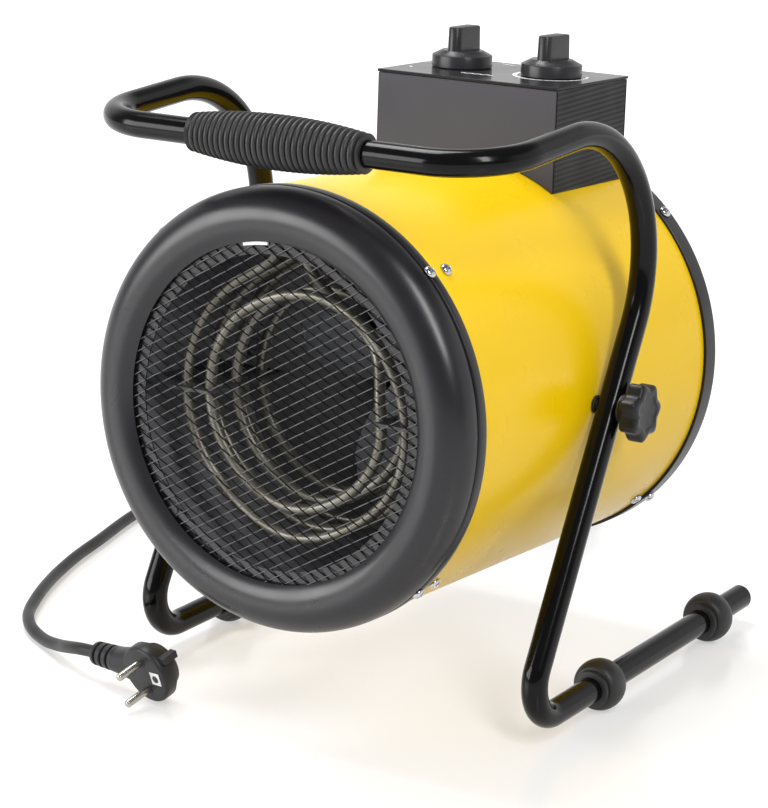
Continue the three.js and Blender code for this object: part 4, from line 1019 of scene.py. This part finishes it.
def makeMesh():
    plane, seat, rim, inner = mesh["plane"], drum["front"] - 0.3, mesh["rim"], mesh["ringInner"]
    depth, outer, radius = mesh["rimDepth"], mesh["ringOuter"], mesh["dotRadius"]
    profile = [
        [rim, seat], [rim, seat - depth], [outer, plane + 0.9], [inner, plane + 0.9],
        [inner, plane + 1.9], [outer - 0.6, plane + 1.9], [rim - 0.8, seat - depth + 0.5], [rim - 0.8, seat],
    ]
    # rising wires in the lit copy, as painted highlight; falling wires in the shaded copy, as painted shade
    drumPiece("risingWires", wireSet(1), paintedLitWire, ["front_grille"], smooth=60)
    drumPiece("fallingWires", wireSet(-1), paintedShadeWire, ["front_grille"], smooth=60)
    drumPiece("meshRim", [turnedPart(profile, sides=144, ring=True)], blackCoat, smooth=40)
    # a white strip under the top of the lip is painted light, standing for light seen through a gap there
    start, end = mesh["paintedLightAngles"]
    clip = arcSlab(openingRadius - 2, openingRadius + 0.2, plane - 0.8, plane + 0.8, start, end, 12)
    drumPiece("paintedLightStrip", [clip], white, smooth=30)
    x, z = mesh["dotPlace"]
    profile = [[0, plane + 0.2], [radius, plane + 0.2], [radius, plane + 1], [0, plane + 1]]
    drumPiece("rimRivet", [turnedPart(profile, sides=24, centre=(x, 0, z))], rubber, smooth=30)


makeMesh()
print("wire mesh made")


# inside the outlet: inner shell with its lugs, and three heating elements
shell = {
    "radius": 113, "wall": 1, "front": -141, "rear": -20,
    "slotHalf": 24, "slotFront": -131.4, "slotRear": -53,
    "lugFront": -119, "lugRear": -107, "lugHalf": 5, "lugTop": 128.3,
}
screwAngles = (45, 135, 225, 315)


def makeInnerShell():
    outer, inner = shell["radius"], shell["radius"] - shell["wall"]
    slot = np.degrees(np.arcsin(shell["slotHalf"] / outer))
    parts = []
    for a, b in ((shell["front"], shell["slotFront"]), (shell["slotRear"], shell["rear"])):
        parts.append(turnedPart([[inner, a], [outer, a], [outer, b], [inner, b]], sides=144, ring=True))
    parts.append(arcSlab(inner, outer, shell["slotFront"], shell["slotRear"], 90 + slot, 450 - slot, 133))
    half = shell["lugHalf"]
    lug = boxPart([outer - 0.5, shell["lugFront"], -half], [shell["lugTop"], shell["lugRear"], half])
    parts += [turnPart(lug, "Y", -degrees) for degrees in screwAngles]
    drumPiece("innerShell", parts, shellSheet, ["inner_shell"], smooth=38)


element = {
    "tubeRadius": 3.4, "first": -122.4, "pitch": 26, "setBack": 8.4, "behind": 13, "legX": 14, "legTop": 121,
    "spiral": [  # degrees of turn and the radius there
        (106, 84.4), (112, 83.3), (120, 82.7), (150, 82.8), (180, 82.3), (205, 79.2), (232, 76.6),
        (268, 80.5), (300, 77.3), (335, 78.8), (360, 74.8), (388, 70.8), (446, 67.2), (466, 64.8),
        (500, 66), (540, 64.5), (580, 61.6), (630, 62.7), (660, 59.8), (700, 60), (718, 58.2),
        (736, 56.7), (760, 58), (785, 62),
    ],
    "turnsBack": (725, 765), "spiralStep": 4.0, "even": 7,  # degrees, and how many points are evened out
}


def elementLine(place):
    # down one leg, twice round in a slowly closing spiral, a little back, and up the other leg
    turn, radius = np.array(element["spiral"], float).T
    steps = np.arange(turn[0], turn[-1], element["spiralStep"])
    radius = np.pad(np.interp(steps, turn, radius), element["even"] // 2, mode="edge")
    radius = np.convolve(radius, np.ones(element["even"]) / element["even"], "valid")
    start, end = element["turnsBack"]
    share = np.clip((steps - start) / (end - start), 0, 1)
    share = share * share * (3 - 2 * share)
    angle = np.radians(steps)
    turns = np.stack([radius * np.cos(angle), place + element["behind"] * share, radius * np.sin(angle)], -1)
    leg, top, back = element["legX"], element["legTop"], place + element["setBack"]
    down = [(-leg, top), (-leg - 0.5, top - 6), (-leg - 3, 105), (-leg - 4.6, 94), (-leg - 6, 87)]
    down = [(x, place, z) for x, z in down]
    up = [(3, back + 3, 74), (-2.5, back, 86), (1, back, 98), (leg - 1.5, back, 112), (leg, back, top)]
    return smoothLine(np.vstack([down, turns[2::2], up]), 2.5)


def makeElements():
    for i, name in enumerate(("front", "middle", "rear")):
        line = elementLine(element["first"] + i * element["pitch"])
        part = sweptPart(line, element["tubeRadius"], sides=16)
        drumPiece(f"{name}Element", [part], coilMetal, [f"{name}_heating_element"], smooth=60)


makeInnerShell()
makeElements()


# fan, shaft, motor and its bracket
fan = {
    "radius": 95, "hubRadius": 22, "hubFront": 12, "hubRear": 34, "blades": 5, "chord": 54, "rootPitch": 42,
    "tipPitch": 24, "thickness": 1.8, "turn": 33, "camber": 3.5, "rootSink": 4, "tipRound": 9, "bore": 4.3,
    "shaftRadius": 3.95, "shaftFront": 8, "shaftRear": 68,
}


def bladePart(index):
    # chord lines from the hub to the tip; each is set at the blade's pitch there and arched by the camber,
    # and the chord swells and shrinks with part of a sine
    share = np.linspace(0, 1, 30)[:, None]
    across = np.linspace(-1, 1, 21)[None, :]
    root = fan["hubRadius"] - fan["rootSink"]
    pitch = np.radians(fan["rootPitch"] + (fan["tipPitch"] - fan["rootPitch"]) * share)
    width = fan["chord"] * (0.42 + 0.58 * np.sin(np.pi * (0.16 + 0.62 * share)))
    # the tip's corners are rounded off
    corner = fan["tipRound"] * np.clip(share - 0.8, 0, 1) * 5 * np.abs(across) ** 6
    reach = root + (fan["radius"] - root) * share - corner
    camber = fan["camber"] * (1 - across**2)
    middle = (fan["hubFront"] + fan["hubRear"]) / 2
    start = 2 * np.pi * index / fan["blades"] + np.radians(fan["turn"])
    sheets = []
    for face in (1, -1):
        half = face * fan["thickness"] / 2 * np.sqrt(np.clip(1 - np.abs(across) ** 16, 0.02, 1))
        tangential = across * width / 2 * np.cos(pitch) + camber * np.sin(pitch)
        axial = across * width / 2 * np.sin(pitch) - camber * np.cos(pitch) + half
        angle = tangential / np.maximum(reach, fan["hubRadius"]) + start
        sheets.append(np.stack([reach * np.cos(angle), middle + axial, reach * np.sin(angle)], -1))
    front, faces = gridPart(sheets[0])
    rear, _ = gridPart(sheets[1])
    count = len(front)
    faces += [tuple(corner + count for corner in face[::-1]) for face in faces]
    place = np.arange(count).reshape(share.size, across.size)
    rim = np.concatenate([place[0], place[1:, -1], place[-1, -2::-1], place[-2:0:-1, 0]]).tolist()
    faces += [(a, b, b + count, a + count) for a, b in zip(rim, rim[1:] + rim[:1])]
    return np.vstack([front, rear]), faces


def makeFan():
    r, bore, front, rear = fan["hubRadius"], fan["bore"], fan["hubFront"], fan["hubRear"]
    hub = np.vstack([
        [[bore, rear], [bore, front + 1], [8.5, front + 1], [9, front]],
        arc((r - 4, front + 4), 4, -90, 0, 8), [[r, rear - 0.6], [r - 0.6, rear]],
    ])
    parts = [turnedPart(hub, sides=72, ring=True)] + [bladePart(i) for i in range(fan["blades"])]
    drumPiece("fanWheel", parts, fanSheet, ["fan"], smooth=32, body="fan_rotor")
    s, front, rear = fan["shaftRadius"], fan["shaftFront"], fan["shaftRear"]
    profile = [[0, front], [s - 0.6, front], [s, front + 0.6], [s, rear - 0.6], [s - 0.6, rear], [0, rear]]
    shaft = turnedPart(profile, sides=32)
    drumPiece("motorShaft", [shaft], zinc, ["motor_shaft"], smooth=35, body="fan_rotor")


motor = {
    "radius": 36, "front": 48, "rear": 104, "bore": 4.4, "boreRear": 72, "bossRadius": 12, "bossFront": 42,
    "frontEdge": 5, "rearEdge": 4, "seams": (58, 92.2), "seamDepth": 0.6, "ribs": 24, "ribFront": 61,
    "ribRear": 91, "ribHalf": 1.1,
}
bracket = {
    "front": 104.3, "back": 107.3, "halfWidth": 8, "plateRadius": 38, "bolts": 4, "boltReach": 30,
    "boltHalf": (2.5, 3.4), "boltHead": 2.2, "tabBase": 124.8, "tabTop": 127.3, "tabRear": 135.5,
}


def motorPart():
    # a can with two end shields: a boss round the shaft in front, a seam where each shield meets the can
    r, front, rear, bore = motor["radius"], motor["front"], motor["rear"], motor["bore"]
    boss, bossFront, deep = motor["bossRadius"], motor["bossFront"], r - motor["seamDepth"]
    edge, rearEdge = motor["frontEdge"], motor["rearEdge"]
    seams = [[[r, s], [deep, s + 0.4], [deep, s + 1.4], [r, s + 1.8]] for s in motor["seams"]]
    profile = np.vstack([
        [[bore, front + 2], [bore, bossFront], [boss - 0.8, bossFront], [boss, bossFront + 0.8]],
        [[boss, front], [r - 6, front]], arc((r - edge, front + edge), edge, -90, 0, 8),
        *seams, arc((r - rearEdge, rear - rearEdge), rearEdge, 0, 90, 8),
        [[boss + 1, rear], [0, rear], [0, motor["boreRear"]], [bore, motor["boreRear"]]],
    ])
    return turnedPart(profile, sides=80, ring=True)


def makeMotor():
    r, half = motor["radius"], motor["ribHalf"]
    rib = boxPart([r - 0.8, motor["ribFront"], -half], [r - 0.05, motor["ribRear"], half])
    ribs = [turnPart(rib, "Y", i * 360 / motor["ribs"]) for i in range(motor["ribs"])]
    drumPiece("fanMotor", [motorPart()] + ribs, casting, ["fan_motor"], smooth=38)
    front, back, half, r = bracket["front"], bracket["back"], bracket["halfWidth"], bracket["plateRadius"]
    profile = [[0, front], [r - 0.6, front], [r, front + 0.6], [r, back - 0.6], [r - 0.6, back], [0, back]]
    reach, (x, z) = bracket["boltReach"], bracket["boltHalf"]
    bolt = boxPart([reach - x, back - 0.2, -z], [reach + x, back + bracket["boltHead"], z])
    arm = boxPart([30, front, -half], [bracket["tabBase"] + 0.2, back, half])
    tab = boxPart([bracket["tabBase"], front, -half], [bracket["tabTop"], bracket["tabRear"], half])
    parts = [turnedPart(profile, sides=96)]
    parts += [turnPart(bolt, "Y", i * 90 + 45) for i in range(bracket["bolts"])]
    parts += [turnPart(part, "Y", -degrees) for degrees in screwAngles for part in (arm, tab)]
    drumPiece("motorBracket", parts, zinc, ["motor_bracket"], smooth=38)


makeFan()
makeMotor()
print("inner shell, elements, fan and motor made")


# screws: round heads with a cross recess
screw = {
    "radius": 3.9, "height": 2.6, "slotWidth": 1.1, "slotReach": 2.5, "slotDepth": 1.6, "points": 96,
    "neck": 1.6, "shank": 6, "shortShank": 4.5, "seatGap": 0.3,
    "front": -132.2, "rear": 145.2, "shell": -113, "bracket": 129.5,  # along the drum
}


def screwParts(shank):
    # head: height is a dome over the radius, less a cross whose arms slope up to the dome at their ends
    share = np.concatenate([np.linspace(0.02, 0.9, 26), [0.95, 0.985, 1, 1]])[:, None]
    angle = np.linspace(0, 2 * np.pi, screw["points"], endpoint=False)[None, :]
    u, v = screw["radius"] * share * np.cos(angle), screw["radius"] * share * np.sin(angle)
    dome = screw["height"] * np.sqrt(np.clip(1 - (share * 0.985) ** 2.6, 0, 1)) * np.ones_like(angle)
    dome[-1] = 0

    def arm(along, across):
        side = np.clip((screw["slotWidth"] / 2 - np.abs(across)) / 0.16, 0, 1)
        return side * np.clip((screw["slotReach"] - np.abs(along)) / 0.9, 0, 1)

    height = dome - screw["slotDepth"] * np.maximum(arm(u, v), arm(v, u))
    points, faces = gridPart(np.stack([u, height, v], -1), wrapColumns=True)
    faces.append(tuple(range(screw["points"])))
    r = screw["neck"]
    neck = [[0, -shank], [r - 0.4, -shank], [r, -shank + 0.8], [r, 0.02], [3.58, 0.02], [0, 0.05]]
    return [(points, faces), turnedPart(neck, sides=24)]


def placedScrew(shank, spin, radius, along, degrees):
    # spun about its own axis, laid on its side at a radius, then carried round the drum
    spun = [turnPart(part, "Y", spin) for part in screwParts(shank)]
    laid = [turnPart(part, "Z", -90, (radius, along, 0)) for part in spun]
    return [turnPart(part, "Y", -degrees) for part in laid]


def makeScrews():
    bandSeat, casingSeat = bandRadius + screw["seatGap"], drum["radius"] + screw["seatGap"]
    corners = ("upper_right", "upper_left", "lower_left", "lower_right")
    for end in ("front", "rear"):
        for place, (corner, degrees) in enumerate(zip(corners, screwAngles)):
            parts = placedScrew(screw["shank"], 23 + 31 * place, bandSeat, screw[end], degrees)
            name = end + corner.title().replace("_", "") + "Screw"
            drumPiece(name, parts, zinc, [f"{end}_{corner}_screw"], smooth=30)
    for fastened in ("shell", "bracket"):
        parts = []
        for place, degrees in enumerate(screwAngles):
            parts += placedScrew(screw["shortShank"], 12 + 40 * place, casingSeat, screw[fastened], degrees)
        drumPiece(f"{fastened}Screws", parts, zinc, smooth=30)


makeScrews()
print("screws made")


# control box, its panel and the two knobs
control = {
    "halfWidth": 65.1, "front": 49.8, "rear": 138.8, "top": 178.3, "wall": 2, "panel": 1.8, "overhang": 0.45,
    "saddle": 130.4, "knobX": 33, "knobY": 98,
}


def makeControlBox():
    half, wall, low, high = control["halfWidth"], control["wall"], control["front"], control["rear"]
    top, over = control["top"], control["overhang"]
    under = top - control["panel"]
    wallTop = under - 0.3
    across = np.linspace(-half, half, 65)
    bottom = np.stack([across, np.sqrt(control["saddle"] ** 2 - across**2)], -1)
    outline = np.vstack([bottom, [[half, wallTop], [-half, wallTop]]])
    ends = [slabPart(outline, low, low + wall), slabPart(outline, high - wall, high)]
    drumPiece("boxEnds", ends, boxFace, ["control_box"], smooth=30, bevel=0.45)
    outer, inner = (float(np.sqrt(control["saddle"] ** 2 - x**2)) for x in (half, half - wall))
    sides = []
    for sign in (1, -1):
        out, back = sign * half, sign * (half - wall)
        outline = [[out, outer], [out, wallTop], [back, wallTop], [back, inner]]
        sides.append(slabPart(outline, low + 0.5, high - 0.5))
    drumPiece("boxSides", sides, boxSide, ["control_box"], smooth=30)
    panel = boxPart([-half - over, low - over, under], [half + over, high + over, top])
    drumPiece("controlPanel", [panel], panelFace, ["control_panel"], smooth=30, bevel=0.35)


def strokePart(line, width, height=0.12):
    # a flat printed stroke along a line on the panel, with a width for each of its points
    line = np.asarray(line, float)
    along = np.gradient(line, axis=0)
    along /= np.linalg.norm(along, axis=1, keepdims=True)
    side = np.stack([-along[:, 1], along[:, 0]], -1) * (np.zeros(len(line)) + width)[:, None] / 2
    low, high = control["top"] + 0.01, control["top"] + height
    rows = []
    for near, far in zip(line - side, line + side):
        rows.append([(*near, low), (*near, high), (*far, high), (*far, low)])
    return closeEnds(gridPart(np.array(rows), wrapColumns=True), 4)


marks = {
    "scales": [(-72, 38, 1.1, 2.0), (-74, -232, 1.1, 6.5)],  # two angles in degrees and the width at each
    "scaleRadius": 21.6, "points": 60, "wave": (-17, 71.4), "waveLength": 22, "waves": 4,
    "strokes": [  # the line's points, then its width
        (((-23, 131), (-17, 129.6), (-11.5, 128)), 1.6),
        (((-62.6, 101.6), (-61.6, 103), (-60.6, 104.6)), 1.5),
        (((-58, 76), (-56.5, 74.2), (-55, 72.6)), 1.4),
    ],
}


def makeMarks():
    # round the thermostat a scale that swells from a line to a broad band; round the switch short marks
    share = np.linspace(0, 1, marks["points"])
    parts = []
    for start, end, thin, broad in marks["scales"]:
        width = thin + (broad - thin) * share**1.6
        angle = np.radians(start + (end - start) * share)
        radius = marks["scaleRadius"] + width / 2
        x, y = control["knobX"] + radius * np.cos(angle), control["knobY"] + radius * np.sin(angle)
        parts.append(strokePart(np.stack([x, y], -1), width))
    x, y = marks["wave"]
    y = y + 2 * share + 0.7 * np.sin(2 * np.pi * marks["waves"] * share)
    parts.append(strokePart(np.stack([x + marks["waveLength"] * share, y], -1), 1.2))
    parts += [strokePart(line, width) for line, width in marks["strokes"]]
    drumPiece("panelMarks", parts, white, smooth=30)


knob = {
    "radius": 19.3, "skirt": 8, "chamfer": 3, "shoulder": 13.5, "height": 26,
    "gripLength": 27.5, "gripWidth": 9.8,
}


def makeKnobs():
    r, skirt, top = knob["radius"], knob["skirt"], knob["skirt"] + knob["chamfer"]
    base = np.vstack([
        [[0, 0.3], [r - 0.5, 0.3], [r, 0.8], [r, skirt - 0.6], [r - 0.25, skirt]],
        arc((knob["shoulder"] - 0.4, top - 1), 1, 35, 90, 6), [[0, top]],
    ])
    half, end, edge, high = knob["gripWidth"] / 2, knob["gripLength"] / 2, 0.5, knob["height"]
    # one narrow side of the bar is round, the other is square; its sides lean in a little towards the top
    outline = np.vstack([
        arc((0, -end + half), half, 180, 360, 25),
        [[half, end - edge], [half - edge, end], [-half + edge, end], [-half, end - edge]],
    ])
    rows = [(skirt, 1.0), (high - 0.9, 0.955), (high - 0.3, 0.93), (high, 0.86)]
    grid = np.array([[(*(point * scale), height) for point in outline] for height, scale in rows])
    for kind, side, body in (("switch", -1, "heat_switch"), ("thermostat", 1, "thermostat")):
        place = np.array([side * control["knobX"], control["knobY"], control["top"]])
        bar = closeEnds(gridPart(grid + place, wrapColumns=True), len(outline))
        parts = [turnedPart(base, sides=96, axis="z", centre=place), bar]
        drumPiece(f"{kind}Knob", parts, knobPlastic, [f"{kind}_knob"], smooth=32, body=body)


makeControlBox()
makeMarks()
makeKnobs()


# cable gland and the sleeve round the cord
gland = {
    "x": -42, "z": 147, "face": 139.1, "radius": 10.5, "length": 17, "flats": 7, "threadStart": 130.8,
    "threadRadius": 6,
}
sleeve = {"length": 24, "rootRadius": 7, "taper": 1.8, "plain": 3, "pitch": 4.2, "grooveDepth": 0.9}


def makeGland():
    centre = (gland["x"], 0, gland["z"])
    face, r, thread = gland["face"], gland["radius"], gland["threadRadius"]
    start, end = gland["threadStart"], face + gland["length"]
    turn = np.radians(np.arange(6) * 60)
    hexagon = r * np.stack([np.cos(turn), np.sin(turn)], -1)
    points, faces = slabPart(hexagon, face, face + gland["flats"])
    dome = np.vstack([
        [[0, face + 6.5], [r - 1.6, face + 6.5], [r - 1.6, face + 8], [r - 2, face + 9]],
        arc((r - 5, end - 3), 3, 0, 90, 8), [[0, end]],
    ])
    root = [
        [0, start], [thread - 0.5, start], [thread, start + 0.5], [thread, face + 0.5], [0, face + 0.5],
    ]
    parts = [(points + centre, faces)]
    parts += [turnedPart(dome, sides=64, centre=centre), turnedPart(root, sides=48, centre=centre)]
    drumPiece("cableGland", parts, plastic, ["cable_gland"], smooth=35)
    length, plain, foot = sleeve["length"], sleeve["plain"], end + 0.3
    along = np.linspace(0, length, 150)
    taper = sleeve["rootRadius"] - sleeve["taper"] * np.clip((along - plain) / (length - plain), 0, 1)
    groove = np.clip(np.sin(2 * np.pi * along / sleeve["pitch"]) * 6, -1, 1) * 0.5 + 0.5
    ribbed = taper - sleeve["grooveDepth"] * groove * (along > plain + 0.2) * (along < length - 1)
    profile = np.vstack([[[0, foot]], np.stack([ribbed, foot + along], -1), [[0, foot + length]]])
    part = turnedPart(profile, sides=48, centre=centre)
    return drumPiece("cordSleeve", [part], rubber, ["cord_sleeve"], smooth=40)


cordSleeve = makeGland()
print("control box, knobs and gland made")


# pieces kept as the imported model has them, given their finishes
kept = {
    "right_pivot_nut": casting, "left_pivot_nut": casting, "right_element_support": bareInside,
    "left_element_support": bareInside, "thermal_cutout": bareInside, "element_terminal_plate": insulator,
    "switch_body": insulator, "thermostat_body": insulator, "terminal_block": insulator, "gland_nut": plastic,
}
for name, material in kept.items():
    for slotPlace in nodes[name].material_slots:
        slotPlace.material = material
